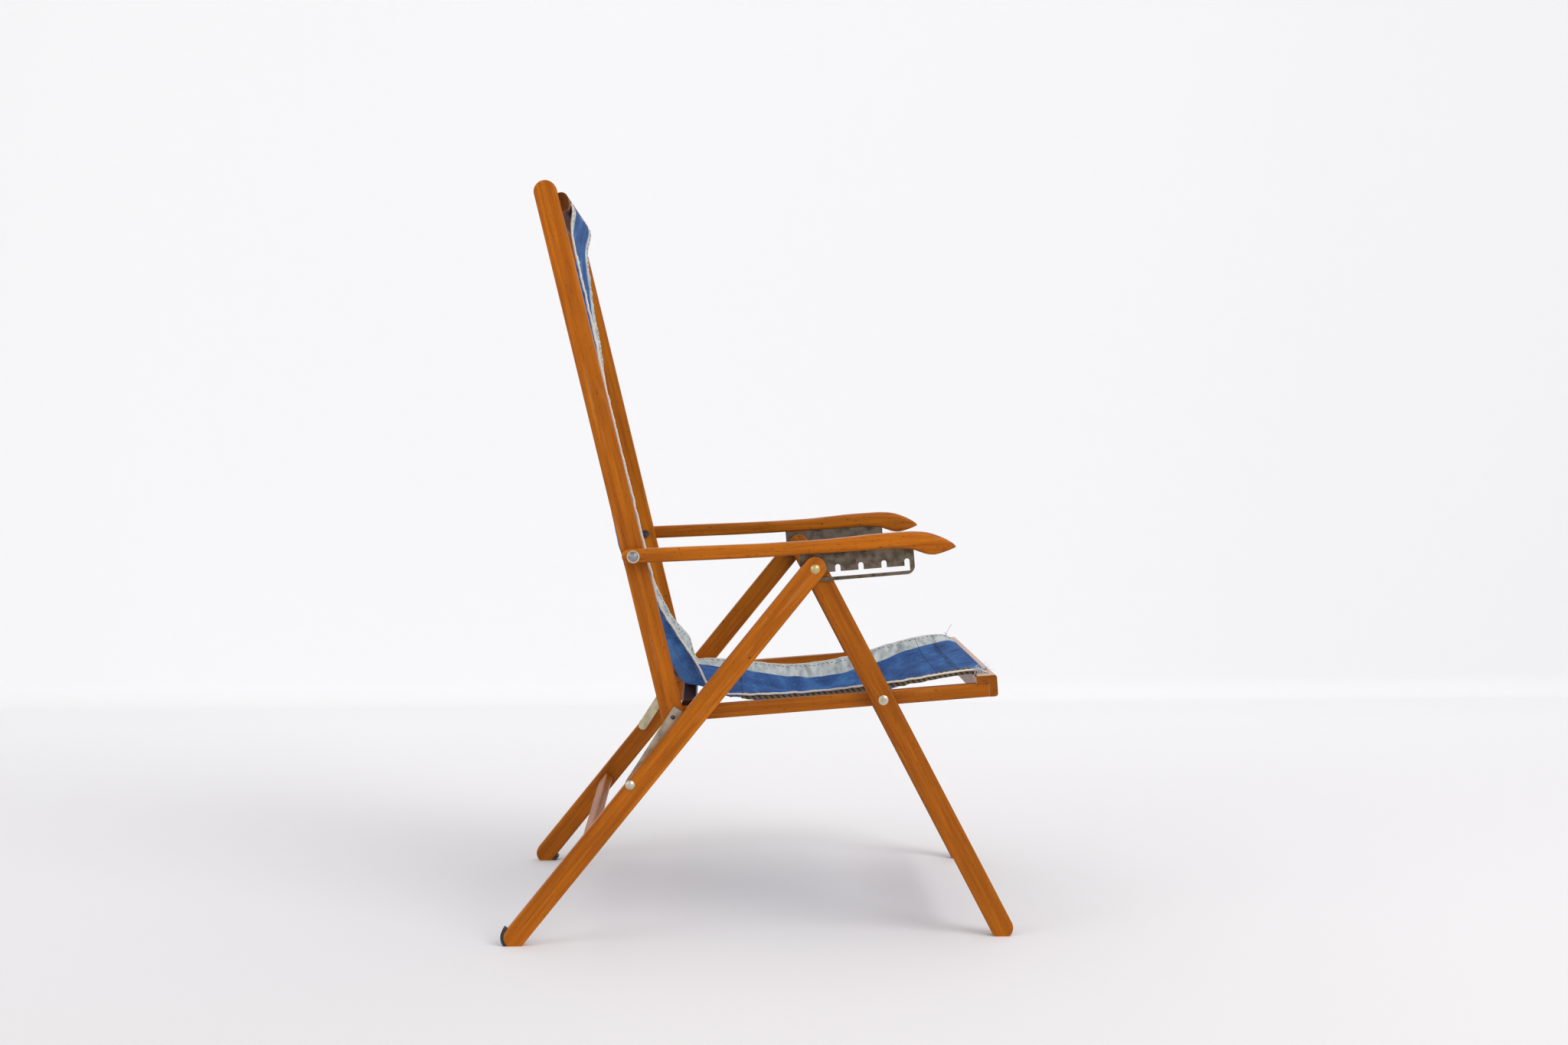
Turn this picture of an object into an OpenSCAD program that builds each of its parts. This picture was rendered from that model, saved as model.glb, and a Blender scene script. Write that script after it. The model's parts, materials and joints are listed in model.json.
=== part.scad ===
// Folding wooden armchair with a slung canvas seat and a back that rests in a five-notch rack.
// It stands open with its back upright. +X is the front, +Z is up, -Y is the sitter's right.
// The origin is on the floor, under the middle of the overall size.

/* [Whole chair] */
// Width over the outer faces of the two rear legs
overall_width = 565; // [550:1:590]
// Height of the leg axle above the floor
axle_height = 530; // [520:1:540]
// Running gap between neighbouring layers of the side frames
layer_gap = 0.4; // [0.3:0.05:0.6]
// Play between a shaft and its hole, on the radius
pin_play = 0.05; // [0.03:0.01:0.08]
// Gap of a glued joint
glue_gap = 0.1; // [0.05:0.01:0.2]
// Rounding of the long edges of the timber
edge_round = 2.4; // [1:0.1:3]

/* [Rear legs] */
// Width of a rear leg seen from the side
rear_leg_width = 31; // [29:0.5:32]
// Thickness of a rear leg
rear_leg_thickness = 18; // [16:0.5:20]
// Lean of a rear leg from upright, in degrees
rear_leg_angle = 39.3; // [38.5:0.1:40]
// Distance from the axle up to the middle line of a rear leg
rear_leg_rise = 1.2; // [0.5:0.1:1.5]
// How far the round head's centre lies beyond the axle
rear_leg_head = 1; // [0:0.1:1.2]
// Height of the round rear foot's centre above the floor
rear_foot_height = 12.5; // [11.5:0.1:14]

/* [Front legs] */
// Width of a front leg seen from the side
front_leg_width = 32; // [29:0.5:32]
// Thickness of a front leg and of a back stile
middle_thickness = 18; // [16:0.5:20]
// Lean of a front leg from upright, in degrees
front_leg_angle = 27.3; // [26.5:0.1:28]
// Height of the round front foot's centre above the floor
front_foot_height = 12.4; // [11.5:0.1:14]

/* [Stretchers] */
// Size of a stretcher along its leg
stretcher_height = 24; // [20:0.5:28]
// Size of a stretcher across its leg
stretcher_depth = 14; // [11:0.5:15]
// Distance of the rear stretcher from the axle
rear_stretcher_place = 510; // [500:1:520]
// Distance of the front stretcher from the axle
front_stretcher_place = 475; // [465:1:485]
// Rounding of the edges of a stretcher
stretcher_round = 4; // [2:0.5:5]

/* [Foot strips] */
// Thickness of the black strip on a rear foot
strip_thickness = 4.8; // [3.5:0.1:5.5]
// Angle over which the right strip wraps its foot, in degrees
strip_wrap = 84; // [70:1:90]
// Reach of the slipped left strip above the foot's centre
slip_reach = 9; // [6:0.5:14]

/* [Seat frame] */
// Distance of the seat pivot from the axle
seat_pivot_place = 212; // [209:0.5:215]
// Distance between the two pivots of a seat rail
seat_span = 299; // [296:0.5:302]
// Slope of the seat rails, rising to the front, in degrees
seat_slope = 4.085; // [3.9:0.005:4.3]
// Height of a seat rail
seat_rail_height = 20; // [18:0.5:22]
// Thickness of a seat rail
seat_rail_thickness = 18; // [16:0.5:20]
// Reach of a seat rail's tongue past its front pivot
seat_rail_reach = 154; // [148:1:158]
// Depth of the front rail from front to back
front_rail_depth = 30; // [28:0.5:32]
// Height of the front rail
front_rail_height = 31; // [29:0.5:33]
// Length of the seat rail's tongue in the front rail
tongue_length = 18; // [14:0.5:20]
// Distance of the canvas groove from the front face
groove_place = 11; // [9:0.5:13]
// Width of the canvas groove
groove_width = 3.2; // [3:0.1:3.6]
// Depth of the canvas groove
groove_depth = 13; // [11:0.5:15]
// Distance of the rear seat bar from the back pivot
rear_bar_place = 23; // [22:0.5:25]
// Depth of the rear seat bar from front to back
rear_bar_depth = 20; // [16:0.5:22]
// Height of the rear seat bar
rear_bar_height = 26; // [22:0.5:28]
// Height of the rear seat bar's top above the rail's middle line
rear_bar_rise = 17.5; // [15:0.5:18]
// Rounding of the edges of the cross rails
rail_round = 4; // [2:0.5:5]

/* [Links] */
// Distance of the link bolt from the axle along the rear leg
link_pivot_place = 399.9; // [397:0.5:403]
// Distance of the link bolt from the axle's line, towards the upper edge
link_pivot_rise = 10.5; // [9:0.5:11]
// Width of a link
link_width = 14.5; // [13:0.5:15]
// Thickness of a link and of a rack plate
plate_thickness = 2; // [1.5:0.1:2.2]
// Reach of a link past its upper hole
link_head = 14.5; // [13:0.5:16]
// Depth of the bent lip at the link's upper end
lip_depth = 5; // [4:0.5:7]
// How much narrower the lip is than the link, on each side
lip_side = 0.6; // [0.5:0.1:1]

/* [Back] */
// Lean of the back from upright, in degrees
back_lean = 13.2; // [12.5:0.1:14]
// Distance from the back pivot to the centre of the stile's round top
back_length = 757; // [740:1:770]
// Width of a back stile seen from the side
back_width = 32; // [29:0.5:32]
// Distance from the back pivot to the arm bolt
arm_bolt_place = 235; // [232:0.5:238]
// Distance from the middle of the top bar up to the centre of the stile's round top
top_bar_drop = 17; // [15:1:27]
// Height of the top bar along the stile
top_bar_height = 27; // [24:0.5:29]
// Depth of the top bar from front to back
top_bar_depth = 30; // [26:0.5:32]
// How far the top bar stands out in front of the stiles
top_bar_projection = 12; // [9:0.5:13]

/* [Arms] */
// Length of an arm
arm_length = 469.5; // [464:0.5:475]
// Height of an arm at its bolt
arm_height = 20; // [19:0.1:21]
// Reach of an arm behind its bolt
arm_tail = 16; // [14:0.5:18]
// Angle from the bolt-to-axle line up to the arm's middle line, in degrees
arm_tilt = 6.9; // [6.7:0.1:7.2]
// Distance of an arm's outer face inside the rear leg's
arm_inset = 0.5; // [0.3:0.1:1]
// Width of an arm at its front
arm_front_width = 26.5; // [25:0.5:28]
// Distance from the arm bolt to where the arm widens
arm_widening_place = 186; // [180:1:192]
// Length over which the arm widens
arm_widening = 30; // [25:1:35]

/* [Rack] */
// Angle from the arm's middle line up to the rack's line, in degrees
rack_rise = 1.75; // [1.5:0.05:2]
// Distance between neighbouring notches
notch_pitch = 32.7; // [31:0.1:34]
// Number of notches
notch_count = 5; // [4:1:5]
// Width of a notch
notch_width = 7.5; // [7:0.1:8]
// Distance from the notch line down to the middle of the channel
channel_drop = 10.5; // [10:0.1:11]
// Height of the channel
channel_height = 7.2; // [7:0.1:7.6]
// Height of the bar under the channel
rack_bar = 5; // [4:0.1:6]
// Reach of the plate behind the first notch
plate_tail = 20; // [18:0.5:22]
// Reach of the plate past the last notch
plate_nose = 10.6; // [9:0.1:13]
// Height of the plate above the notch line
plate_rise = 29; // [27:0.5:30]
// Radius of the plate's lower front corner
plate_corner = 12; // [9:0.5:13]
// Play of the plate in its slot, on each side
slot_play = 0.1; // [0.05:0.01:0.2]
// Radius of a cross pin through the arm and the plate
cross_pin_radius = 1.5; // [1.2:0.1:1.8]
// Height of the cross pins above the notch line
cross_pin_rise = 24.5; // [24:0.5:25]
// Size of the bent tab at the plate's rear edge
tab_depth = 3; // [2:0.5:4]
// Height of the bent tab
tab_height = 4.8; // [3:0.1:5]
// Height of the bent tab's lower edge above the notch line
tab_rise = 15; // [14.5:0.1:15.5]

/* [Bolts] */
// Radius of the pivot bolts
bolt_radius = 3.25; // [2.8:0.05:3.4]
// Radius of a domed bolt head
head_radius = 7; // [6:0.1:7.5]
// Height of a domed bolt head
head_height = 3.4; // [2.5:0.1:4]
// Height of the flat dome between the leg and the seat rail
low_head_height = 2.2; // [1.8:0.1:2.3]
// Distance across the flats of a nut
nut_width = 12; // [10:0.5:13]
// Height of a nut
nut_height = 4; // [3:0.5:5]
// Radius of the small rivet head on a link
rivet_radius = 3.2; // [2.8:0.1:3.4]
// Height of the small rivet head on a link
rivet_height = 1.2; // [0.8:0.1:1.4]
// Radius of the washer under an arm bolt's head
washer_radius = 9; // [8:0.1:9.5]
// Thickness of that washer
washer_thickness = 0.9; // [0.6:0.1:1.2]

/* [Canvas] */
// Distance of the canvas edge from the chair's outer face
canvas_inset = 70; // [66:0.5:80]
// Thickness of the canvas with its hems
canvas_thickness = 1.6; // [1.2:0.1:1.8]
// Gap between the canvas and what it lies on
canvas_gap = 0.3; // [0.3:0.05:0.5]
// Length of the loose bend on each side of the back pivot
lap_reach = 100; // [96:1:104]

/* [Hidden] */
$fn = 48;

wood_colour = [0.72, 0.41, 0.16];
end_wood_colour = [0.52, 0.28, 0.12];
steel_colour = [0.50, 0.49, 0.46];
brass_colour = [0.78, 0.70, 0.50];
rubber_colour = [0.06, 0.06, 0.06];
canvas_colour = [0.16, 0.30, 0.56];

// One overrun for every cut.
overrun = 1;

// Depths of the layers, measured inwards from the outer face of a rear leg.
half_width = overall_width / 2;
plate_layer = rear_leg_thickness + layer_gap;
middle_layer = plate_layer + plate_thickness + layer_gap;
rail_layer = middle_layer + middle_thickness + layer_gap;
rail_inner = rail_layer + seat_rail_thickness;
middle_inner = middle_layer + middle_thickness;

// Directions in the side plane, as [forward, up].
strip_rear_heading = 180;
rear_leg_heading = 270 - rear_leg_angle;
front_leg_heading = 270 + front_leg_angle;
back_heading = 90 + back_lean;
function heading(angle) = [cos(angle), sin(angle)];
function across(angle) = [-sin(angle), cos(angle)];

// Length of each leg from the axle to its foot's centre.
rear_leg_length = (axle_height - rear_foot_height + rear_leg_rise * sin(rear_leg_angle))
  / cos(rear_leg_angle);
front_leg_length = (axle_height - front_foot_height) / cos(front_leg_angle);

// The overall size is centred, so the axle's place follows from the two feet.
rear_reach = rear_leg_length * sin(rear_leg_angle) + rear_leg_rise * cos(rear_leg_angle)
  + rear_leg_width / 2 + strip_thickness;
front_reach = front_leg_length * sin(front_leg_angle) + front_leg_width / 2;
axle = [(rear_reach - front_reach) / 2, axle_height];

// The other pivots. The link spans from the rear leg to the back pivot.
link_pivot = axle + link_pivot_place * heading(rear_leg_heading)
  - link_pivot_rise * across(rear_leg_heading);
seat_pivot = axle + seat_pivot_place * heading(front_leg_heading);
seat_heading = seat_slope;
back_pivot = seat_pivot - seat_span * heading(seat_heading);
link_line = back_pivot - link_pivot;
link_span = norm(link_line);
link_heading = atan2(link_line[1], link_line[0]);
arm_pivot = back_pivot + arm_bolt_place * heading(back_heading);
arm_line = axle - arm_pivot;
arm_heading = atan2(arm_line[1], arm_line[0]) + arm_tilt;
rack_heading = arm_heading + rack_rise;

// Places along the seat rail, measured from the back pivot.
tongue_end = seat_span + seat_rail_reach;
front_rail_rear = tongue_end - tongue_length;
front_rail_front = front_rail_rear + front_rail_depth;
front_rail_bottom = -seat_rail_height / 2;
front_rail_top = front_rail_bottom + front_rail_height;
groove_middle = front_rail_front - groove_place;
seat_length = front_rail_front;

// Faces of the top bar, forward of the stile's middle line and up from the back pivot.
top_bar_front = back_width / 2 + top_bar_projection;
top_bar_rear = top_bar_front - top_bar_depth;
top_bar_place = back_length - top_bar_drop;
top_bar_low = top_bar_place - top_bar_height / 2;
top_bar_high = top_bar_place + top_bar_height / 2;
top_bar_round = top_bar_height / 3;

// The rack's plate.
notch_run = notch_pitch * (notch_count - 1);
notch_rise = bolt_radius + pin_play;
plate_low = channel_drop + channel_height / 2 + rack_bar;
plate_end = notch_run + plate_nose;
arm_rear_width = plate_layer + plate_thickness - arm_inset;

// Steps a right-hand piece into the side plane, at a point and a heading, with +X along it.
module at(point, angle) {
  translate([point[0], -half_width, point[1]])
    rotate([0, -angle, 0])
      children();
}

// Extrudes a side-plane shape inwards from one depth by a thickness.
module layer(depth, thickness) {
  translate([0, depth + thickness, 0])
    rotate([90, 0, 0])
      linear_extrude(height = thickness)
        children();
}

// A hole or pin along Y, from one depth to another.
module cross_rod(radius, from, to) {
  translate([0, to, 0])
    rotate([90, 0, 0])
      cylinder(r = radius, h = to - from);
}

module rounded_rectangle(width, height, round) {
  translate([round, 0])
    square([width - 2 * round, height]);
  translate([0, round])
    square([width, height - 2 * round]);
  for (x = [round, width - round])
    for (y = [round, height - round])
      translate([x, y])
        circle(r = round);
}

// A straight timber along +X with its long edges rounded, centred on the X axis.
module timber(from, to, width, depth, thickness) {
  translate([from, depth, -width / 2])
    rotate([90, 0, 90])
      linear_extrude(height = to - from)
        rounded_rectangle(thickness, width, edge_round);
}

// The same timber with round ends, centred on the two given places.
module round_ended(from, to, width, depth, thickness) {
  intersection() {
    timber(from - width / 2, to + width / 2, width, depth, thickness);
    layer(depth, thickness) {
      translate([from, -width / 2])
        square([to - from, width]);
      translate([from, 0])
        circle(d = width);
      translate([to, 0])
        circle(d = width);
    }
  }
}

// A bar across the chair, from one side frame's depth to the other's.
module cross_bar(length, height, round, depth) {
  translate([-length / 2, overall_width - depth - glue_gap, -height / 2])
    rotate([90, 0, 0])
      linear_extrude(height = overall_width - 2 * (depth + glue_gap))
        rounded_rectangle(length, height, round);
}

// A domed head standing out towards -Y from a face at the given depth.
module dome(radius, height, depth) {
  ball = (radius * radius + height * height) / (2 * height);
  translate([0, depth, 0])
    rotate([90, 0, 0])
      intersection() {
        translate([0, 0, height - ball])
          sphere(r = ball);
        cylinder(r = radius, h = height);
      }
}

// A six-sided nut standing inwards from a face at the given depth.
module nut(depth) {
  layer(depth, nut_height)
    circle(d = nut_width / cos(30), $fn = 6);
}

// Repeats a right-hand piece on the left-hand side.
module both_sides() {
  children();
  mirror([0, 1, 0])
    children();
}

module below_floor() {
  translate([-axle_height, -overall_width, -axle_height])
    cube([3 * axle_height, 2 * overall_width, axle_height]);
}

// Rear legs: round-ended timbers, flat where they meet the floor.
module rear_leg() {
  difference() {
    at(axle, rear_leg_heading)
      difference() {
        translate([0, 0, -rear_leg_rise])
          round_ended(-rear_leg_head, rear_leg_length, rear_leg_width, 0, rear_leg_thickness);
        cross_rod(bolt_radius + pin_play, -overrun, rear_leg_thickness + overrun);
        translate([link_pivot_place, 0, -link_pivot_rise])
          cross_rod(bolt_radius + pin_play, -overrun, rear_leg_thickness + overrun);
      }
    below_floor();
  }
}

// A strip bent round the foot, between its radius and its own thickness outside it.
module foot_strip(middle) {
  foot = rear_leg_width / 2 + pin_play;
  difference() {
    at(axle, rear_leg_heading)
      translate([rear_leg_length, 0, -rear_leg_rise])
        rotate([0, rear_leg_heading - middle, 0])
          layer(edge_round / 2, rear_leg_thickness - edge_round)
            difference() {
              intersection() {
                circle(r = foot + strip_thickness);
                polygon([
                  [0, 0],
                  2 * rear_leg_width * heading(-strip_wrap / 2),
                  2 * rear_leg_width * heading(strip_wrap / 2),
                ]);
              }
              circle(r = foot);
            }
    below_floor();
  }
}

// The strip that has slipped lies straight along the front edge of its foot.
module slipped_strip() {
  difference() {
    at(axle, rear_leg_heading)
      translate([rear_leg_length - slip_reach, 0, rear_leg_width / 2 - rear_leg_rise + glue_gap])
        layer(edge_round / 2, rear_leg_thickness - edge_round)
          square([slip_reach + rear_leg_width, strip_thickness]);
    below_floor();
  }
}

module rear_stretcher_bar() {
  at(axle, rear_leg_heading)
    translate([rear_stretcher_place, 0, -rear_leg_rise])
      cross_bar(stretcher_height, stretcher_depth, stretcher_round, rear_leg_thickness);
}

// Each axle is cut at the rack's plate: this half turns with the rear legs.
module axle_bolt() {
  at(axle, 0) {
    dome(head_radius, head_height, 0);
    cross_rod(bolt_radius, 0, rear_leg_thickness + layer_gap / 4);
  }
}

// The half of the axle that is fixed in the front leg.
module axle_nut() {
  at(axle, 0) {
    cross_rod(bolt_radius, middle_layer - layer_gap / 4, middle_inner + nut_height / 2);
    nut(middle_inner);
  }
}

module link_bolt() {
  at(link_pivot, 0) {
    dome(head_radius, head_height, 0);
    cross_rod(bolt_radius, 0, rear_leg_thickness);
  }
}

module front_leg() {
  difference() {
    at(axle, front_leg_heading)
      difference() {
        round_ended(0, front_leg_length, front_leg_width, middle_layer, middle_thickness);
        for (place = [0, seat_pivot_place])
          translate([place, 0, 0])
            cross_rod(bolt_radius + pin_play, middle_layer - overrun, middle_inner + overrun);
      }
    below_floor();
  }
}

module front_stretcher_bar() {
  at(axle, front_leg_heading)
    translate([front_stretcher_place, 0, 0])
      cross_bar(stretcher_height, stretcher_depth, stretcher_round, middle_inner);
}

// Seat rails: the front end is a tongue lying in a notch of the front rail.
module seat_rail() {
  at(back_pivot, seat_heading)
    difference() {
      intersection() {
        timber(-seat_rail_height / 2, tongue_end, seat_rail_height, rail_layer,
          seat_rail_thickness);
        layer(rail_layer, seat_rail_thickness) {
          circle(d = seat_rail_height);
          translate([0, -seat_rail_height / 2])
            square([tongue_end, seat_rail_height]);
        }
      }
      for (place = [0, seat_span])
        translate([place, 0, 0])
          cross_rod(bolt_radius + pin_play, rail_layer - overrun, rail_inner + overrun);
    }
}

module front_rail() {
  at(back_pivot, seat_heading)
    difference() {
      translate([front_rail_rear, overall_width - rail_layer, front_rail_bottom])
        rotate([90, 0, 0])
          linear_extrude(height = overall_width - 2 * rail_layer)
            rounded_rectangle(front_rail_depth, front_rail_height, rail_round);
      for (y = [rail_layer - overrun, overall_width - rail_inner - glue_gap])
        translate([front_rail_rear - overrun, y, front_rail_bottom - overrun])
          cube([
            tongue_length + overrun + glue_gap,
            seat_rail_thickness + overrun + glue_gap,
            seat_rail_height + overrun + glue_gap,
          ]);
      translate([groove_middle - groove_width / 2, rail_inner, front_rail_top - groove_depth])
        cube([groove_width, overall_width - 2 * rail_inner, groove_depth + overrun]);
    }
}

module rear_bar() {
  at(back_pivot, seat_heading)
    translate([rear_bar_place, 0, rear_bar_rise - rear_bar_height / 2])
      cross_bar(rear_bar_depth, rear_bar_height, rail_round, rail_inner);
}

// The bolt on which the seat rail turns in the front leg.
module seat_bolt() {
  at(seat_pivot, 0) {
    dome(head_radius, low_head_height, middle_layer - layer_gap / 4);
    cross_rod(bolt_radius, middle_layer - layer_gap / 4, rail_inner + nut_height / 2);
    nut(rail_inner);
  }
}

// The bolt that holds the link, the back stile and the seat rail together.
module back_pivot_bolt() {
  at(back_pivot, 0) {
    dome(rivet_radius, rivet_height, plate_layer);
    cross_rod(bolt_radius - pin_play, plate_layer, rail_inner + nut_height / 2);
    nut(rail_inner);
  }
}

// A flat strap, round below and square above, with a lip bent outwards at its upper end.
module link() {
  at(link_pivot, link_heading)
    difference() {
      union() {
        layer(plate_layer, plate_thickness) {
          circle(d = link_width);
          translate([0, -link_width / 2])
            square([link_span + link_head, link_width]);
        }
        translate([
          link_span + link_head - plate_thickness,
          plate_layer - lip_depth,
          lip_side - link_width / 2,
        ])
          cube([plate_thickness, lip_depth + plate_thickness, link_width - 2 * lip_side]);
      }
      for (place = [0, link_span])
        translate([place, 0, 0])
          cross_rod(bolt_radius, plate_layer - overrun, middle_layer);
    }
}

// The rivet left in the link's lower hole, where the linkage is opened.
module link_rivet() {
  at(link_pivot, 0) {
    cross_rod(bolt_radius - pin_play, plate_layer, plate_layer + plate_thickness);
    translate([0, plate_layer + plate_thickness, 0])
      rotate([-90, 0, 0])
        cylinder(r = head_radius - plate_thickness, h = rivet_height);
  }
}

module back_stile() {
  at(back_pivot, back_heading)
    difference() {
      round_ended(0, back_length, back_width, middle_layer, middle_thickness);
      for (place = [0, arm_bolt_place])
        translate([place, 0, 0])
          cross_rod(bolt_radius + pin_play, middle_layer - overrun, middle_inner + overrun);
    }
}

// The canvas hangs from this bar. Its depth runs across the stile, its height along it.
module top_bar() {
  at(back_pivot, back_heading)
    translate([top_bar_place, 0, -(top_bar_front + top_bar_rear) / 2])
      cross_bar(top_bar_height, top_bar_depth, top_bar_round, middle_inner);
}

// Arm outline: places along the arm as shares of its length, heights as shares of its height.
arm_top_shares = [
  [0.050, 0.515],
  [0.15, 0.50],
  [0.30, 0.465],
  [0.43, 0.435],
  [0.592, 0.476],
  [0.68, 0.58],
  [0.757, 0.69],
  [0.84, 0.735],
  [0.879, 0.725],
  [0.920, 0.59],
  [0.961, 0.215],
  [0.990, -0.20],
  [1.0, -0.47],
];
arm_under_shares = [
  [1.0, -0.49],
  [0.9935, -0.56],
  [0.970, -0.765],
  [0.942, -0.94],
  [0.926, -0.955],
  [0.908, -0.875],
  [0.890, -0.715],
  [0.861, -0.48],
  [0.82, -0.40],
  [0.780, -0.39],
  [0.673, -0.44],
  [0.4275, -0.53],
  [0.25, -0.515],
  [0.050, -0.478],
];
outline_steps = 4;

// A smooth curve through a list of points.
function smooth_part(a, b, c, d, t) = 0.5 * (
  2 * b + (c - a) * t + (2 * a - 5 * b + 4 * c - d) * t * t
  + (3 * b - a - 3 * c + d) * t * t * t
);
function smooth(list, steps) = concat(
  [
    for (i = [0 : len(list) - 2])
      for (k = [0 : steps - 1])
        smooth_part(
          list[max(i - 1, 0)],
          list[i],
          list[i + 1],
          list[min(i + 2, len(list) - 1)],
          k / steps
        )
  ],
  [list[len(list) - 1]]
);
function arm_point(share) = [share[0] * arm_length - arm_tail, share[1] * arm_height];
arm_end_rise_share = 0.02;
arm_end = [arm_height / 2 - arm_tail, arm_end_rise_share * arm_height];
arm_end_steps = 16;
arm_outline = concat(
  smooth([for (share = arm_top_shares) arm_point(share)], outline_steps),
  smooth([for (share = arm_under_shares) arm_point(share)], outline_steps),
  [
    for (k = [0 : arm_end_steps])
      arm_end + arm_height / 2 * heading(-90 - 180 * k / arm_end_steps)
  ]
);
tip_round = arm_front_width / 3;
arm_tip = arm_length - arm_tail;

// Half of a smooth step from the narrow rear to the wide front, seen from above.
function widening(t) = arm_rear_width + (arm_front_width - arm_rear_width) * t * t * (3 - 2 * t);
widening_steps = 6;
arm_plan = concat(
  [
    [-2 * arm_tail, 0],
    [arm_tip - tip_round, 0],
    for (k = [1 : widening_steps])
      [arm_tip - tip_round, tip_round] + tip_round * heading(-90 + 90 * k / widening_steps),
    for (k = [0 : widening_steps])
      [arm_tip - tip_round, arm_front_width - tip_round]
        + tip_round * heading(90 * k / widening_steps),
    for (k = [0 : widening_steps])
      [
        arm_widening_place + arm_widening * (1 - k / widening_steps),
        widening(1 - k / widening_steps),
      ],
    [-2 * arm_tail, arm_rear_width],
  ]
);

module arm_body() {
  intersection() {
    layer(arm_inset, arm_front_width)
      polygon(arm_outline);
    translate([0, arm_inset, -2 * arm_height])
      linear_extrude(height = 4 * arm_height)
        polygon(arm_plan);
  }
}

// Places of the two cross pins along the rack, as shares of the notches' run.
cross_pin_shares = [0.17, 0.80];

module rack_pin_rods(radius, from, to) {
  for (share = cross_pin_shares)
    translate([share * notch_run, 0, cross_pin_rise])
      cross_rod(radius, from, to);
}

pin_start = arm_inset + arm_front_width / 4;
pin_end = arm_inset + arm_front_width;

module arm() {
  difference() {
    at(arm_pivot, arm_heading)
      difference() {
        arm_body();
        cross_rod(bolt_radius + pin_play, -overrun, plate_layer + plate_thickness + overrun);
      }
    at(axle, rack_heading) {
      translate([-plate_tail - slot_play, plate_layer - slot_play, -arm_height])
        cube([
          plate_end + plate_tail + 2 * slot_play,
          plate_thickness + 2 * slot_play,
          arm_height + plate_rise + slot_play,
        ]);
      rack_pin_rods(cross_pin_radius + pin_play, pin_start - pin_play, pin_end + overrun);
    }
  }
}

// The plate's outline in the rack's frame: X along the notches, Y up, the first notch at zero.
module plate_outline() {
  translate([-plate_tail, plate_corner - plate_low])
    square([plate_end + plate_tail, plate_rise + plate_low - plate_corner]);
  translate([-plate_tail, -plate_low])
    square([plate_end + plate_tail - plate_corner, plate_low]);
  translate([plate_end - plate_corner, plate_corner - plate_low])
    circle(r = plate_corner);
}

module notch_cuts() {
  translate([-notch_width / 2, -channel_drop - channel_height / 2])
    square([notch_run + notch_width, channel_height]);
  for (k = [0 : notch_count - 1])
    translate([k * notch_pitch, 0]) {
      translate([-notch_width / 2, -channel_drop])
        square([notch_width, channel_drop + notch_rise - notch_width / 2]);
      translate([0, notch_rise - notch_width / 2])
        circle(d = notch_width);
    }
}

module rack_plate() {
  at(axle, rack_heading)
    difference() {
      union() {
        layer(plate_layer, plate_thickness)
          plate_outline();
        translate([-plate_tail, plate_layer - tab_depth, tab_rise])
          cube([plate_thickness, tab_depth + plate_thickness, tab_height]);
      }
      layer(plate_layer - overrun, plate_thickness + 2 * overrun)
        notch_cuts();
      rack_pin_rods(cross_pin_radius + pin_play, plate_layer - overrun, middle_layer + overrun);
    }
}

module rack_pins() {
  at(axle, rack_heading)
    rack_pin_rods(cross_pin_radius, pin_start, pin_end + pin_play);
}

// The bolt through the arm and the stile is in two lengths that meet between them: the outer
// one, with the head, sits in the arm and the inner one, with the nut, in the stile.
stud_start = arm_inset - washer_thickness - 2 * pin_play;

module arm_stud() {
  at(arm_pivot, 0) {
    dome(head_radius, head_height, stud_start);
    cross_rod(bolt_radius, stud_start, plate_layer + plate_thickness);
  }
}

module arm_bolt() {
  at(arm_pivot, 0) {
    cross_rod(bolt_radius, middle_layer, middle_inner + nut_height / 2);
    nut(middle_inner);
  }
}

module arm_washer() {
  at(arm_pivot, 0)
    difference() {
      cross_rod(washer_radius, arm_inset - washer_thickness - pin_play, arm_inset - pin_play);
      cross_rod(bolt_radius + pin_play, -head_radius, rear_leg_thickness);
    }
}

// Canvas. Each path is a list of points in the side plane, once for the edge and once for
// the middle, which hangs lower; between them the canvas follows the square of its distance
// from the middle.
canvas_lie = canvas_gap + canvas_thickness / 2;
canvas_half = half_width - canvas_inset;
canvas_columns = 12;
canvas_steps = 3;

function back_point(rise, forward) = back_pivot + rise * heading(back_heading)
  - forward * across(back_heading);
function seat_point(forward, rise) = back_pivot + forward * heading(seat_heading)
  + rise * across(seat_heading);

// Heights above the back pivot as shares of the back's length, and distances forward of the
// stile's middle line as shares of its width.
back_edge_shares = [
  [0.906, 0.65],
  [0.810, 0.62],
  [0.722, 0.58],
  [0.604, 0.53],
  [0.410, 0.515],
  [0.205, 0.52],
];
back_middle_shares = [
  [0.906, 0.44],
  [0.810, 0.03],
  [0.722, -0.25],
  [0.604, -0.60],
  [0.410, -0.94],
  [0.205, -0.80],
];
back_edge_end_share = 0.67;
back_middle_end_share = -0.40;

// Places along the seat as shares of its length, and heights above the rail's middle line
// as shares of the rail's height.
seat_edge_shares = [
  [0.260, 0.87],
  [0.478, 0.80],
  [0.671, 0.95],
  [0.774, 1.02],
  [0.874, 1.17],
];
seat_middle_shares = [
  [0.260, 0.33],
  [0.478, 0.13],
  [0.671, 0.33],
  [0.774, 0.56],
  [0.874, 0.90],
];
seat_edge_start_share = 0.98;
seat_middle_start_share = 0.45;

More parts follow.
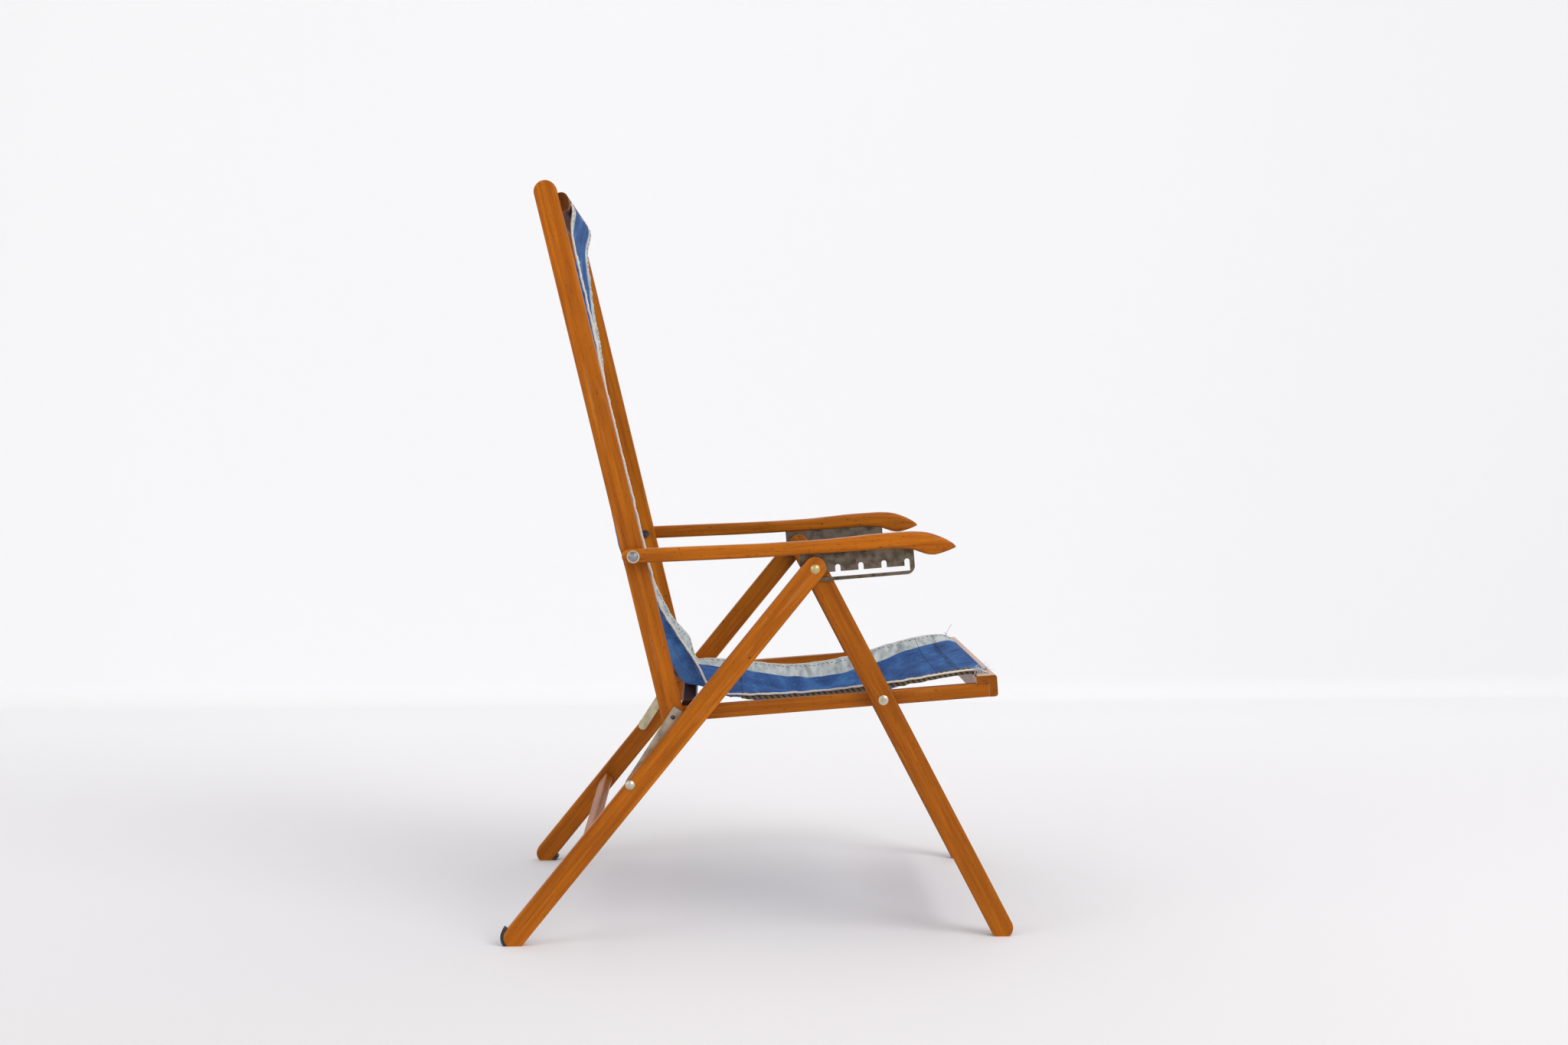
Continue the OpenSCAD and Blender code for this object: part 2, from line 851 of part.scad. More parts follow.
// The canvas starts behind the top bar, goes over it and comes down its front.
wrap_radius = top_bar_round + canvas_lie;
wrap_steps = 4;
top_wrap = concat(
  [back_point(top_bar_low + top_bar_round / 2, top_bar_rear - canvas_lie)],
  [
    for (k = [0 : wrap_steps])
      back_point(
        top_bar_high - top_bar_round + wrap_radius * sin(90 * k / wrap_steps),
        top_bar_rear + top_bar_round - wrap_radius * cos(90 * k / wrap_steps)
      )
  ],
  [
    for (k = [0 : wrap_steps])
      back_point(
        top_bar_high - top_bar_round + wrap_radius * cos(90 * k / wrap_steps),
        top_bar_front - top_bar_round + wrap_radius * sin(90 * k / wrap_steps)
      )
  ]
);
bar_front_low = back_point(top_bar_low + top_bar_round / 2, top_bar_front + canvas_lie);

function hung(shares, end_share) = smooth(
  concat(
    [bar_front_low],
    [for (s = shares) back_point(s[0] * back_length, s[1] * back_width)],
    [back_point(lap_reach, end_share * back_width)]
  ),
  canvas_steps
);
function laid(shares, start_share) = concat(
  smooth(
    concat(
      [seat_point(lap_reach, start_share * seat_rail_height)],
      [for (s = shares) seat_point(s[0] * seat_length, s[1] * seat_rail_height)],
      [seat_point(front_rail_rear + rail_round, front_rail_top + canvas_lie + canvas_thickness)]
    ),
    canvas_steps
  ),
  [
    for (k = [0 : wrap_steps])
      seat_point(
        groove_middle - groove_width / 2 * (1 - sin(90 * k / wrap_steps)),
        front_rail_top + groove_width / 2 * cos(90 * k / wrap_steps)
      )
  ],
  [seat_point(groove_middle, front_rail_top - groove_depth + canvas_thickness)]
);

back_edge_path = concat(top_wrap, hung(back_edge_shares, back_edge_end_share));
back_middle_path = concat(top_wrap, hung(back_middle_shares, back_middle_end_share));
seat_edge_path = laid(seat_edge_shares, seat_edge_start_share);
seat_middle_path = laid(seat_middle_shares, seat_middle_start_share);

// The bend between back and seat lies over the rear seat bar in the middle.
// Distances from the back pivot as shares of the bend's reach, first up the back and then
// along the seat, with the distances from the middle lines as before.
lap_back_edge_shares = [
  [0.620, 1.08],
  [0.484, 1.32],
  [0.341, 1.66],
];
lap_back_middle_shares = [
  [0.700, -0.10],
  [0.384, 0.22],
];
lap_seat_edge_shares = [
  [0.546, 1.85],
  [0.620, 1.56],
  [0.800, 1.12],
];
lap_seat_middle_shares = [
  [0.620, 0.78],
  [0.800, 0.60],
];
bar_top = rear_bar_rise + canvas_lie + canvas_gap;

function lap_back(shares) = [
  for (s = shares) back_point(s[0] * lap_reach, s[1] * back_width)
];
function lap_seat(shares) = [
  for (s = shares) seat_point(s[0] * lap_reach, s[1] * seat_rail_height)
];
function lap(back_shares, back_end_share, over_bar, seat_shares, seat_start_share) = smooth(
  concat(
    [back_point(lap_reach - canvas_gap, back_end_share * back_width)],
    lap_back(back_shares),
    over_bar,
    lap_seat(seat_shares),
    [seat_point(lap_reach - canvas_gap, seat_start_share * seat_rail_height)]
  ),
  canvas_steps
);
lap_edge_path = lap(lap_back_edge_shares, back_edge_end_share, [],
  lap_seat_edge_shares, seat_edge_start_share);
lap_middle_path = lap(lap_back_middle_shares, back_middle_end_share,
  [
    seat_point(rear_bar_place - 0.55 * rear_bar_depth, bar_top + canvas_gap * 3),
    seat_point(rear_bar_place + rear_bar_depth / 2, bar_top + canvas_gap),
  ],
  lap_seat_middle_shares, seat_middle_start_share);

// A row of points across the canvas, at one step of the paths, shifted along the normal.
function canvas_row(edge, middle, i, side) = [
  for (j = [0 : canvas_columns])
    let (
      v = 2 * j / canvas_columns - 1,
      last = len(edge) - 1,
      before = max(i - 1, 0),
      after = min(i + 1, last),
      here = edge[i] * v * v + middle[i] * (1 - v * v),
      back = edge[before] * v * v + middle[before] * (1 - v * v),
      ahead = edge[after] * v * v + middle[after] * (1 - v * v),
      run = (ahead - back) / norm(ahead - back),
      point = here + side * canvas_thickness / 2 * [-run[1], run[0]]
    )
    [point[0], v * canvas_half, point[1]]
];

// A closed sheet: two grids of points, and the faces round its border.
module canvas(edge, middle) {
  rows = len(edge);
  columns = canvas_columns + 1;
  count = rows * columns;
  points = concat(
    [for (i = [0 : rows - 1]) each canvas_row(edge, middle, i, 1)],
    [for (i = [0 : rows - 1]) each canvas_row(edge, middle, i, -1)]
  );
  upper = [
    for (i = [0 : rows - 2])
      for (j = [0 : columns - 2])
        let (a = i * columns + j, b = a + 1, c = a + columns, d = c + 1)
        each [[a, b, d], [a, d, c]]
  ];
  lower = [for (face = upper) [face[0] + count, face[2] + count, face[1] + count]];
  sides = [
    for (i = [0 : rows - 2])
      let (a = i * columns, b = a + columns, c = a + columns - 1, d = b + columns - 1)
      each [
        [a, b, b + count],
        [a, b + count, a + count],
        [d, c, c + count],
        [d, c + count, d + count],
      ]
  ];
  ends = [
    for (j = [0 : columns - 2])
      let (a = j, b = j + 1, c = (rows - 1) * columns + j, d = c + 1)
      each [
        [b, a, a + count],
        [b, a + count, b + count],
        [c, d, d + count],
        [c, d + count, c + count],
      ]
  ];
  polyhedron(points = points, faces = concat(upper, lower, sides, ends));
}

module right_rear_leg() { color(wood_colour) rear_leg(); }
module left_rear_leg() { color(wood_colour) mirror([0, 1, 0]) rear_leg(); }
module rear_stretcher() { color(wood_colour) rear_stretcher_bar(); }
module right_foot_strip() { color(rubber_colour) foot_strip(strip_rear_heading); }
module left_foot_strip() { color(rubber_colour) mirror([0, 1, 0]) slipped_strip(); }
module axle_bolts() { color(brass_colour) both_sides() axle_bolt(); }
module link_bolts() { color(brass_colour) both_sides() link_bolt(); }
module right_front_leg() { color(wood_colour) front_leg(); }
module left_front_leg() { color(wood_colour) mirror([0, 1, 0]) front_leg(); }
module front_stretcher() { color(wood_colour) front_stretcher_bar(); }
module axle_nuts() { color(steel_colour) both_sides() axle_nut(); }
module right_seat_rail() { color(wood_colour) seat_rail(); }
module left_seat_rail() { color(wood_colour) mirror([0, 1, 0]) seat_rail(); }
module front_seat_rail() { color(wood_colour) front_rail(); }
module rear_seat_bar() { color(end_wood_colour) rear_bar(); }
module seat_bolts() { color(brass_colour) both_sides() seat_bolt(); }
module back_pivot_bolts() { color(steel_colour) both_sides() back_pivot_bolt(); }
module right_link() { color(steel_colour) link(); }
module left_link() { color(brass_colour) mirror([0, 1, 0]) link(); }
module right_link_rivet() { color(steel_colour) link_rivet(); }
module left_link_rivet() { color(steel_colour) mirror([0, 1, 0]) link_rivet(); }
module right_back_stile() { color(wood_colour) back_stile(); }
module left_back_stile() { color(wood_colour) mirror([0, 1, 0]) back_stile(); }
module top_crossbar() { color(end_wood_colour) top_bar(); }
module sling_back() { color(canvas_colour) canvas(back_edge_path, back_middle_path); }
module sling_seat() { color(canvas_colour) canvas(seat_edge_path, seat_middle_path); }
module sling_lap() { color(canvas_colour) canvas(lap_edge_path, lap_middle_path); }
module right_arm() { color(wood_colour) arm(); }
module left_arm() { color(wood_colour) mirror([0, 1, 0]) arm(); }
module right_rack_plate() { color(steel_colour) rack_plate(); }
module left_rack_plate() { color(steel_colour) mirror([0, 1, 0]) rack_plate(); }
module right_rack_pins() { color(steel_colour) rack_pins(); }
module left_rack_pins() { color(steel_colour) mirror([0, 1, 0]) rack_pins(); }
module right_arm_stud() { color(steel_colour) arm_stud(); }
module left_arm_stud() { color(steel_colour) mirror([0, 1, 0]) arm_stud(); }
module right_arm_bolt() { color(steel_colour) arm_bolt(); }
module left_arm_bolt() { color(steel_colour) mirror([0, 1, 0]) arm_bolt(); }
module right_arm_washer() { color(brass_colour) arm_washer(); }
module left_arm_washer() { color(brass_colour) mirror([0, 1, 0]) arm_washer(); }

right_rear_leg();
left_rear_leg();
rear_stretcher();
right_foot_strip();
left_foot_strip();
axle_bolts();
link_bolts();
right_front_leg();
left_front_leg();
front_stretcher();
axle_nuts();
right_seat_rail();
left_seat_rail();
front_seat_rail();
rear_seat_bar();
seat_bolts();
back_pivot_bolts();
right_link();
left_link();
right_link_rivet();
left_link_rivet();
right_back_stile();
left_back_stile();
top_crossbar();
sling_back();
sling_seat();
sling_lap();
right_arm();
left_arm();
right_rack_plate();
left_rack_plate();
right_rack_pins();
left_rack_pins();
right_arm_stud();
left_arm_stud();
right_arm_bolt();
left_arm_bolt();
right_arm_washer();
left_arm_washer();
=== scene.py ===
import json

import bpy
import numpy as np
from mathutils import Matrix


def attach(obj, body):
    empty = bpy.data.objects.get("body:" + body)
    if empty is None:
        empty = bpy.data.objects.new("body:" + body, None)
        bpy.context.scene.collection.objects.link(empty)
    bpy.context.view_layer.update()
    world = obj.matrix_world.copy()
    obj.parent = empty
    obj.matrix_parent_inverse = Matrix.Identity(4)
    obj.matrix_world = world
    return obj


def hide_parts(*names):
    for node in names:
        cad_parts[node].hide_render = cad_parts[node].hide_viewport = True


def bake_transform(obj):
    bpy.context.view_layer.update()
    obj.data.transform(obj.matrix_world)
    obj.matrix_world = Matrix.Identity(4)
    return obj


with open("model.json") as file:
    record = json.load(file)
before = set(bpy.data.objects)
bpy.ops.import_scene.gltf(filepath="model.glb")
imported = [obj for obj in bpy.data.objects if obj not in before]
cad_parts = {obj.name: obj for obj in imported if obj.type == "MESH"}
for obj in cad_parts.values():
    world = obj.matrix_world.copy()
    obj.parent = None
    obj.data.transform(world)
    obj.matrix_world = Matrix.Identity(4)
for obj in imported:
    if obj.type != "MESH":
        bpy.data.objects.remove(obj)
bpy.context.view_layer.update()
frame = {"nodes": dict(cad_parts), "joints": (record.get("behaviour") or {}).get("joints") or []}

bl_info = {
    "name": "Folding Sling Chair",
    "version": (1, 0, 0),
    "blender": (4, 5, 0),
    "location": "View3D > Sidebar > Sling Chair",
    "description": "Timber, canvas, metal and stage of a folding wooden chair with a slung canvas",
    "category": "Object",
}

MM = 0.001
SIDES = (("right", -1.0), ("left", 1.0))


def heading(degrees):
    """Unit vector in the side plane (x forwards, z up) at that many degrees from forwards."""
    return np.array([np.cos(np.radians(degrees)), np.sin(np.radians(degrees))])


def across(degrees):
    """The heading turned a quarter turn from forwards towards up."""
    return heading(degrees + 90.0)


def pivot(name):
    """Where a joint's axis stands in the side plane, in metres."""
    place = next(joint["pos_m"] for joint in frame["joints"] if joint["name"] == name)
    return np.array([place[0], place[2]])


# The chair's own lines, which its canvas and arms are laid out on.
AXLE = pivot("fold")
BACK_PIVOT = pivot("back_fold")
ARM_PIVOT = pivot("right_arm_fold")
BACK_HEADING = 103.2
SEAT_HEADING = 4.085
REAR_LEG_HEADING = 230.7
FRONT_LEG_HEADING = 297.3
ARM_TILT = 6.9
HALF_WIDTH = 282.5 * MM


def back_point(rise, forward):
    """A point of the back's own lines, in millimetres up the stile and forward of its middle."""
    return BACK_PIVOT + (rise * heading(BACK_HEADING) - forward * across(BACK_HEADING)) * MM


def seat_point(forward, rise):
    """A point of the seat's own lines, in millimetres along the rail and above its middle."""
    return BACK_PIVOT + (forward * heading(SEAT_HEADING) + rise * across(SEAT_HEADING)) * MM


def both(*parts):
    """The names of those parts on the right and on the left."""
    return [side + "_" + part for side, _ in SIDES for part in parts]


# Colours and settings


def linear(code, light=1.0):
    """The linear colour of an sRGB hex code times that light, with full alpha."""
    share = np.array([int(code[i : i + 2], 16) for i in (1, 3, 5)]) / 255.0
    shade = np.where(share <= 0.04045, share / 12.92, ((share + 0.055) / 1.055) ** 2.4)
    return (*(light * shade).tolist(), 1.0)


def length(name, description, default):
    """A setting that is a length in metres."""
    return bpy.props.FloatProperty(name=name, description=description, default=default, unit="LENGTH")


class CanvasSettings(bpy.types.PropertyGroup):
    half_width: length("Half width", "Half the canvas's width between its hems", 0.2125)
    thickness: length("Thickness", "Thickness of the canvas", 0.0016)
    band_width: length("Band width", "Width of the pale strip along each hem", 0.056)
    pleat_height: length("Pleat height", "Height of the small pleats across the strips", 0.0011)
    crease_height: length("Crease height", "Height of the canvas's soft long waves", 0.0011)
    row_pitch: length("Row pitch", "Distance between rows of the canvas's grid", 0.0034)
    hem_radius: length("Hem radius", "Radius of the white hem", 0.0015)


class TimberSettings(bpy.types.PropertyGroup):
    light: bpy.props.FloatVectorProperty(
        name="Light grain",
        description="Colour of the light grain",
        subtype="COLOR",
        default=linear("#C56F0A")[:3],
    )
    dark: bpy.props.FloatVectorProperty(
        name="Dark grain",
        description="Colour of the dark grain",
        subtype="COLOR",
        default=linear("#954A04")[:3],
    )
    squareness: bpy.props.FloatProperty(
        name="Arm squareness",
        description="Power of the arm's section, from 2 for an oval up to a square",
        default=4.6,
        subtype="UNSIGNED",
    )


class StageSettings(bpy.types.PropertyGroup):
    wall_place: length("Wall distance", "How far behind the chair the wall stands", 2.1)
    key_power: bpy.props.FloatProperty(
        name="Key light", description="Power of the soft key light", default=56.0, unit="POWER"
    )
    fill: bpy.props.FloatProperty(
        name="Fill light",
        description="Strength of the even light all round",
        default=0.84,
        subtype="FACTOR",
    )


# Nodes and materials


def add(tree, kind, inputs=None, out=0, stops=(), **settings):
    """Adds one node and gives its output of that name or number: settings are the node's own,
    inputs are links or values, and stops are a ramp's places and colours."""
    made = tree.nodes.new("ShaderNode" + kind)
    for key, value in settings.items():
        setattr(made, key, value)
    for key, value in (inputs or {}).items():
        if isinstance(value, bpy.types.NodeSocket):
            tree.links.new(value, made.inputs[key])
        else:
            made.inputs[key].default_value = value
    if stops:
        elements = made.color_ramp.elements
        while len(elements) < len(stops):
            elements.new(1.0)
        for element, (place, colour) in zip(elements, stops):
            element.position = place
            element.color = colour
    return made.outputs[out] if made.outputs else None


def new_material(name):
    """A node material with nothing in it yet, and its tree."""
    made = bpy.data.materials.new(name)
    made.use_nodes = True
    made.node_tree.nodes.clear()
    return made, made.node_tree


def finish_surface(tree, inputs):
    """Ends a material with one Principled shader that has those links and constants."""
    shader = add(tree, "BsdfPrincipled", inputs)
    add(tree, "OutputMaterial", {"Surface": shader})


def cells(tree, place, size, detail=4.0, roughness=0.55):
    """A soft pattern whose cells have that size in millimetres along the place's X, Y and Z."""
    scale = [1.0 / (each * MM) for each in size]
    scaled = add(tree, "VectorMath", {0: place, 1: scale}, operation="MULTIPLY")
    inputs = {"Vector": scaled, "Scale": 1.0, "Detail": detail, "Roughness": roughness}
    return add(tree, "TexNoise", inputs)


def layered(tree, colour, layers):
    """Tints, hex codes or links, laid over a colour one after the other by their shares."""
    for tint, share in layers:
        inputs = {0: share, 6: colour, 7: linear(tint) if isinstance(tint, str) else tint}
        colour = add(tree, "Mix", inputs, out=2, data_type="RGBA")
    return colour


def beech_grain(tree, along, light, dark):
    """The wood's grain: (colour, light and dark tone, its long streaks, its broad blotches)."""
    streak = cells(tree, along, (286.0, 7.69, 7.69), 5.0)
    fibre = cells(tree, along, (55.6, 1.11, 1.11), 3.0)
    blotch = cells(tree, along, (143.0, 45.5, 45.5), 3.0)
    most = add(tree, "Math", {0: streak, 1: 0.62}, operation="MULTIPLY")
    tone = add(tree, "Math", {0: fibre, 1: 0.38, 2: most}, operation="MULTIPLY_ADD")
    stops = [(0.34, (*dark, 1.0)), (0.5, (*(0.5 * (light + dark)), 1.0)), (0.64, (*light, 1.0))]
    grain = add(tree, "ValToRGB", {0: tone}, stops=stops)
    shade = add(tree, "MapRange", {0: blotch, 1: 0.3, 2: 0.68, 3: 0.74})
    colour = add(tree, "VectorMath", {0: grain, "Scale": shade}, operation="SCALE")
    return colour, tone, streak, blotch


def beech_edges(tree, blotch):
    """How pale each edge is drawn, partly as varnish rubbed off and partly as a painted
    highlight: where the surface turns within about a millimetre, in some stretches and not
    in others."""
    rounded = add(tree, "Bevel", {"Radius": 1.3 * MM}, samples=4)
    facing = add(tree, "NewGeometry", out="True Normal")
    pair = {0: rounded, 1: facing}
    turned = add(tree, "VectorMath", pair, out="Value", operation="DOT_PRODUCT")
    edge = add(tree, "MapRange", {0: turned, 1: 0.97, 2: 0.84})
    stretch = add(tree, "MapRange", {0: blotch, 1: 0.3, 2: 0.6, 4: 0.55})
    return add(tree, "Math", {0: edge, 1: stretch}, operation="MULTIPLY")


def beech_raw(tree, colour, streak):
    """Bare pale wood on the faces that look up or backwards, where no varnish was put."""
    facing = add(tree, "TexCoord", out="Normal")
    parts = add(tree, "SeparateXYZ", {0: facing}).node.outputs
    upwards = add(tree, "MapRange", {0: parts["Z"], 1: 0.82, 2: 0.95})
    backwards = add(tree, "MapRange", {0: parts["X"], 1: -0.82, 2: -0.95})
    raw = add(tree, "Math", {0: upwards, 1: backwards}, operation="MAXIMUM")
    share = add(tree, "Math", {0: raw, 1: 0.88}, operation="MULTIPLY")
    pale = layered(tree, linear("#BE9683"), [("#DCBFAF", streak)])
    return layered(tree, colour, [(pale, share)])


def beech(name, turn, light, dark, gloss, wear=0.5, raw_faces=False):
    """Warm varnished beech: long streaks, fine fibre and the short dark flecks of that wood,
    with dents, rubbed marks and pale edges, partly worn varnish and partly a painted
    highlight, the grain along each timber. turn is the rotation that brings the timber's
    length to X. Sizes are in millimetres; the fibre, really a tenth of that, is drawn as
    coarse as it needs to show."""
    made, tree = new_material(name)
    place = add(tree, "TexCoord", out="Object")
    along = add(tree, "Mapping", {"Vector": place, "Rotation": turn})
    colour, tone, streak, blotch = beech_grain(tree, along, light, dark)
    fleck_cells = cells(tree, along, (8.33, 1.613, 1.613), 1.0)
    flecks = add(tree, "MapRange", {0: fleck_cells, 1: 0.66, 2: 0.74, 4: wear})
    dent_cells = cells(tree, along, (9.52, 5.263, 5.263), 2.0)
    dent_groups = cells(tree, along, (76.9, 58.8, 58.8), 1.0)
    dent = add(tree, "MapRange", {0: dent_cells, 1: 0.71, 2: 0.76})
    group_range = {0: dent_groups, 1: 0.62 - 0.2 * wear, 2: 0.7 - 0.16 * wear}
    group = add(tree, "MapRange", group_range)
    dents = add(tree, "Math", {0: dent, 1: group}, operation="MULTIPLY")
    dent_share = add(tree, "Math", {0: dents, 1: 0.8}, operation="MULTIPLY")
    rubbed_cells = cells(tree, along, (111.0, 11.11, 11.11), 3.0)
    rubbed = add(tree, "MapRange", {0: rubbed_cells, 1: 0.62, 2: 0.74, 4: 0.16})
    marks = [("#5B2A0C", flecks), ("#32180A", dent_share), ("#D79C5E", rubbed)]
    # The pale #DDA77A on the edges is partly worn varnish and partly a painted highlight.
    colour = layered(tree, colour, marks + [("#DDA77A", beech_edges(tree, blotch))])
    if raw_faces:
        colour = beech_raw(tree, colour, streak)
    height = add(tree, "Math", {0: tone, 1: dents}, operation="SUBTRACT")
    relief = {"Strength": 0.22, "Distance": 0.6 * MM, "Height": height}
    inputs = {
        "Base Color": colour,
        "Roughness": add(tree, "MapRange", {0: streak, 3: gloss, 4: gloss + 0.16}),
        "Normal": add(tree, "Bump", relief),
        "Specular IOR Level": 0.14,
        "Coat Weight": 0.03,
        "Coat Roughness": 0.24,
    }
    finish_surface(tree, inputs)
    return made


def metal(name, base, stain, rough, stain_share=0.5):
    """Old fittings: bare metal with cloudy stains about a centimetre across and scratches,
    which are drawn as coarse as they show."""
    made, tree = new_material(name)
    place = add(tree, "TexCoord", out="Object")
    clouds = cells(tree, place, (13.33, 13.33, 13.33), 4.0, 0.5)
    scratches = cells(tree, place, (14.3, 14.3, 0.77), 2.0)
    stained = add(tree, "MapRange", {0: clouds, 1: 0.42, 2: 0.68, 4: stain_share})
    relief = {"Strength": 0.3, "Distance": 0.2 * MM, "Height": scratches}
    inputs = {
        "Base Color": layered(tree, linear(base), [(stain, stained)]),
        "Roughness": add(tree, "MapRange", {0: clouds, 3: rough - 0.12, 4: rough + 0.2}),
        "Normal": add(tree, "Bump", relief),
        "Metallic": 1.0,
    }
    finish_surface(tree, inputs)
    return made


def plain(name, code, rough, size, spread=0.25, sheen=0.0):
    """A matt stuff of one colour with soft darker grit of that size in millimetres, which is
    as coarse as it needs to show."""
    made, tree = new_material(name)
    place = add(tree, "TexCoord", out="Object")
    clouds = cells(tree, place, (size, size, size), 3.0)
    stops = [(0.3, linear(code, 1.0 - spread)), (0.7, linear(code))]
    relief = {"Strength": 0.3, "Distance": 0.3 * MM, "Height": clouds}
    inputs = {
        "Base Color": add(tree, "ValToRGB", {0: clouds}, stops=stops),
        "Normal": add(tree, "Bump", relief),
        "Roughness": rough,
        "Sheen Weight": sheen,
    }
    finish_surface(tree, inputs)
    return made


def woven_tape():
    """Olive-brown woven tape with a dark dash every few millimetres along it."""
    dash_pitch = 9.0 * MM
    made, tree = new_material("olive_woven_tape")
    place = add(tree, "TexCoord", out="Object")
    parts = add(tree, "SeparateXYZ", {0: place}).node.outputs
    run = add(tree, "Math", {0: parts["X"], 1: parts["Z"]}, operation="ADD")
    turn = add(tree, "Math", {0: run, 1: 2 * np.pi / dash_pitch}, operation="MULTIPLY")
    wave = add(tree, "Math", {0: turn}, operation="SINE")
    dash = add(tree, "MapRange", {0: wave, 1: 0.1, 2: 0.5, 4: 0.85})
    colour = layered(tree, linear("#8A7A58"), [("#2E2A22", dash)])
    finish_surface(tree, {"Base Color": colour, "Roughness": 0.85})
    return made


# Real canvas has about two threads a millimetre. They are drawn as coarse as they show.
THREAD_SPACINGS = (0.849 * MM, 0.911 * MM)


def canvas_weave(tree, cloth, wide, long):
    """The weave: (its slubs, its height), from two crossed rows of threads, sines with the
    threads' spacing, and thicker threads here and there both ways."""
    rows = []
    for run, spacing in zip((wide, long), THREAD_SPACINGS):
        turn = add(tree, "Math", {0: run, 1: 2 * np.pi / spacing}, operation="MULTIPLY")
        rows.append(add(tree, "Math", {0: turn}, operation="SINE"))
    threads = add(tree, "Math", {0: rows[0], 1: rows[1]}, operation="ADD")
    slub_along = cells(tree, cloth, (16.7, 1.11, 1.11), 2.0)
    slub_across = cells(tree, cloth, (1.11, 16.7, 16.7), 2.0)
    slubs = add(tree, "Math", {0: slub_along, 1: slub_across}, operation="ADD")
    height = add(tree, "Math", {0: threads, 1: 0.25, 2: slubs}, operation="MULTIPLY_ADD")
    return slubs, height


def canvas_blue(tree, cloth, slubs):
    """Dyed blue, darker and lighter in faded patches, with pale slubs and pale thin lines
    where creases were rubbed: along a line where a soft pattern passes its middle value."""
    patches = cells(tree, cloth, (111.0, 47.6, 47.6), 5.0, 0.62)
    stops = [(0.34, linear("#15366A")), (0.5, linear("#1F4F8C")), (0.66, linear("#3A6DA8"))]
    faded = add(tree, "ValToRGB", {0: patches}, stops=stops)
    pale_slubs = add(tree, "MapRange", {0: slubs, 1: 1.0, 2: 1.35, 4: 0.42})
    crease = cells(tree, cloth, (38.5, 286.0, 286.0), 3.0)
    from_middle = add(tree, "Math", {0: crease, 1: 0.5}, operation="SUBTRACT")
    from_line = add(tree, "Math", {0: from_middle}, operation="ABSOLUTE")
    rubbed = add(tree, "MapRange", {0: from_line, 1: 0.012, 2: 0.0, 4: 0.2})
    return layered(tree, faded, [("#6E8FBB", pale_slubs), ("#8FA6C8", rubbed)])


def front_seam(tree, cloth, long, wander, place):
    """How dark the seam along the front rail is: within a few millimetres of its line,
    which wanders a little, and broken where the thread has gone."""
    line = add(tree, "Math", {0: wander, 1: 0.35, 2: long}, operation="MULTIPLY_ADD")
    offset = add(tree, "Math", {0: line, 1: place}, operation="SUBTRACT")
    distance = add(tree, "Math", {0: offset}, operation="ABSOLUTE")
    near_line = add(tree, "MapRange", {0: distance, 1: 4.2 * MM, 2: 1.2 * MM})
    thread = cells(tree, cloth, (11.11, 3.846, 3.846), 3.0)
    kept = add(tree, "MapRange", {0: thread, 1: 0.34, 2: 0.62, 4: 0.85})
    return add(tree, "Math", {0: near_line, 1: kept}, operation="MULTIPLY")


def side_strips(tree, cloth, wide, long, wander, tuck_place):
    """The pale strips: (share, colour, crumple). They lie along both hems as wide as the
    settings say, with a wandering inner edge, and the near one is tucked under at the
    front. Their colour is darker in the crumple's hollows and lighter on its crests,
    painted shade and highlight over the strip's own pale grey."""
    settings = bpy.context.scene.sling_canvas
    from_middle = add(tree, "Math", {0: wide, 1: settings.half_width}, operation="SUBTRACT")
    distance = add(tree, "Math", {0: from_middle}, operation="ABSOLUTE")
    inset = add(tree, "Math", {0: distance, 1: wander}, operation="ADD")
    edge, blur = settings.half_width - settings.band_width, 1.6 * MM
    strip = add(tree, "MapRange", {0: inset, 1: edge - blur, 2: edge + blur})
    at_front = {0: long, 1: tuck_place - 12.0 * MM, 2: tuck_place + 4.0 * MM, 3: 1.0, 4: 0.0}
    front = add(tree, "MapRange", at_front)
    far = add(tree, "Math", {0: wide, 1: settings.half_width}, operation="GREATER_THAN")
    shown = add(tree, "Math", {0: front, 1: far}, operation="MAXIMUM")
    share = add(tree, "Math", {0: strip, 1: shown}, operation="MULTIPLY")
    crumple = cells(tree, cloth, (45.5, 13.33, 13.33), 4.0, 0.6)
    # Painted shade and highlight: the strip's grey follows the crumple that also raises its bump,
    # darker in the hollows and lighter on the crests.
    stops = [(0.32, linear("#959D9F")), (0.47, linear("#B3BBBB")), (0.64, linear("#CACECD"))]
    return share, add(tree, "ValToRGB", {0: crumple}, stops=stops), crumple


def canvas_material(name, marks=None):
    """Blue cotton canvas on its own grid of metres: a plain weave, faded patches and pale
    rubbed creases. With marks, which say where the near strip ends and the front seam lies
    along the cloth, it is the upper face, with a pale grey-green strip along each hem."""
    made, tree = new_material(name)
    cloth = add(tree, "UVMap", uv_map="cloth")
    parts = add(tree, "SeparateXYZ", {0: cloth}).node.outputs
    wide, long = parts["X"], parts["Y"]
    slubs, height = canvas_weave(tree, cloth, wide, long)
    colour = canvas_blue(tree, cloth, slubs)
    relief = add(tree, "Bump", {"Strength": 0.35, "Distance": 0.4 * MM, "Height": height})
    if marks:
        tuck_place, seam_place = marks
        swing = cells(tree, cloth, (167.0, 38.5, 38.5), 3.0)
        wander = add(tree, "MapRange", {0: swing, 3: -5.0 * MM, 4: 5.0 * MM})
        sewn = front_seam(tree, cloth, long, wander, seam_place)
        share, strip, crumple = side_strips(tree, cloth, wide, long, wander, tuck_place)
        colour = layered(tree, colour, [("#101C36", sewn), (strip, share)])
        folds = add(tree, "Math", {0: crumple, 1: share}, operation="MULTIPLY")
        waved = {"Strength": 0.3, "Distance": 1.4 * MM, "Height": folds, "Normal": relief}
        relief = add(tree, "Bump", waved)
    inputs = {"Base Color": colour, "Normal": relief, "Roughness": 0.86}
    finish_surface(tree, {**inputs, "Specular IOR Level": 0.2})
    return made


# Surfaces, each as its points and a list of arrays of faces with like corner counts


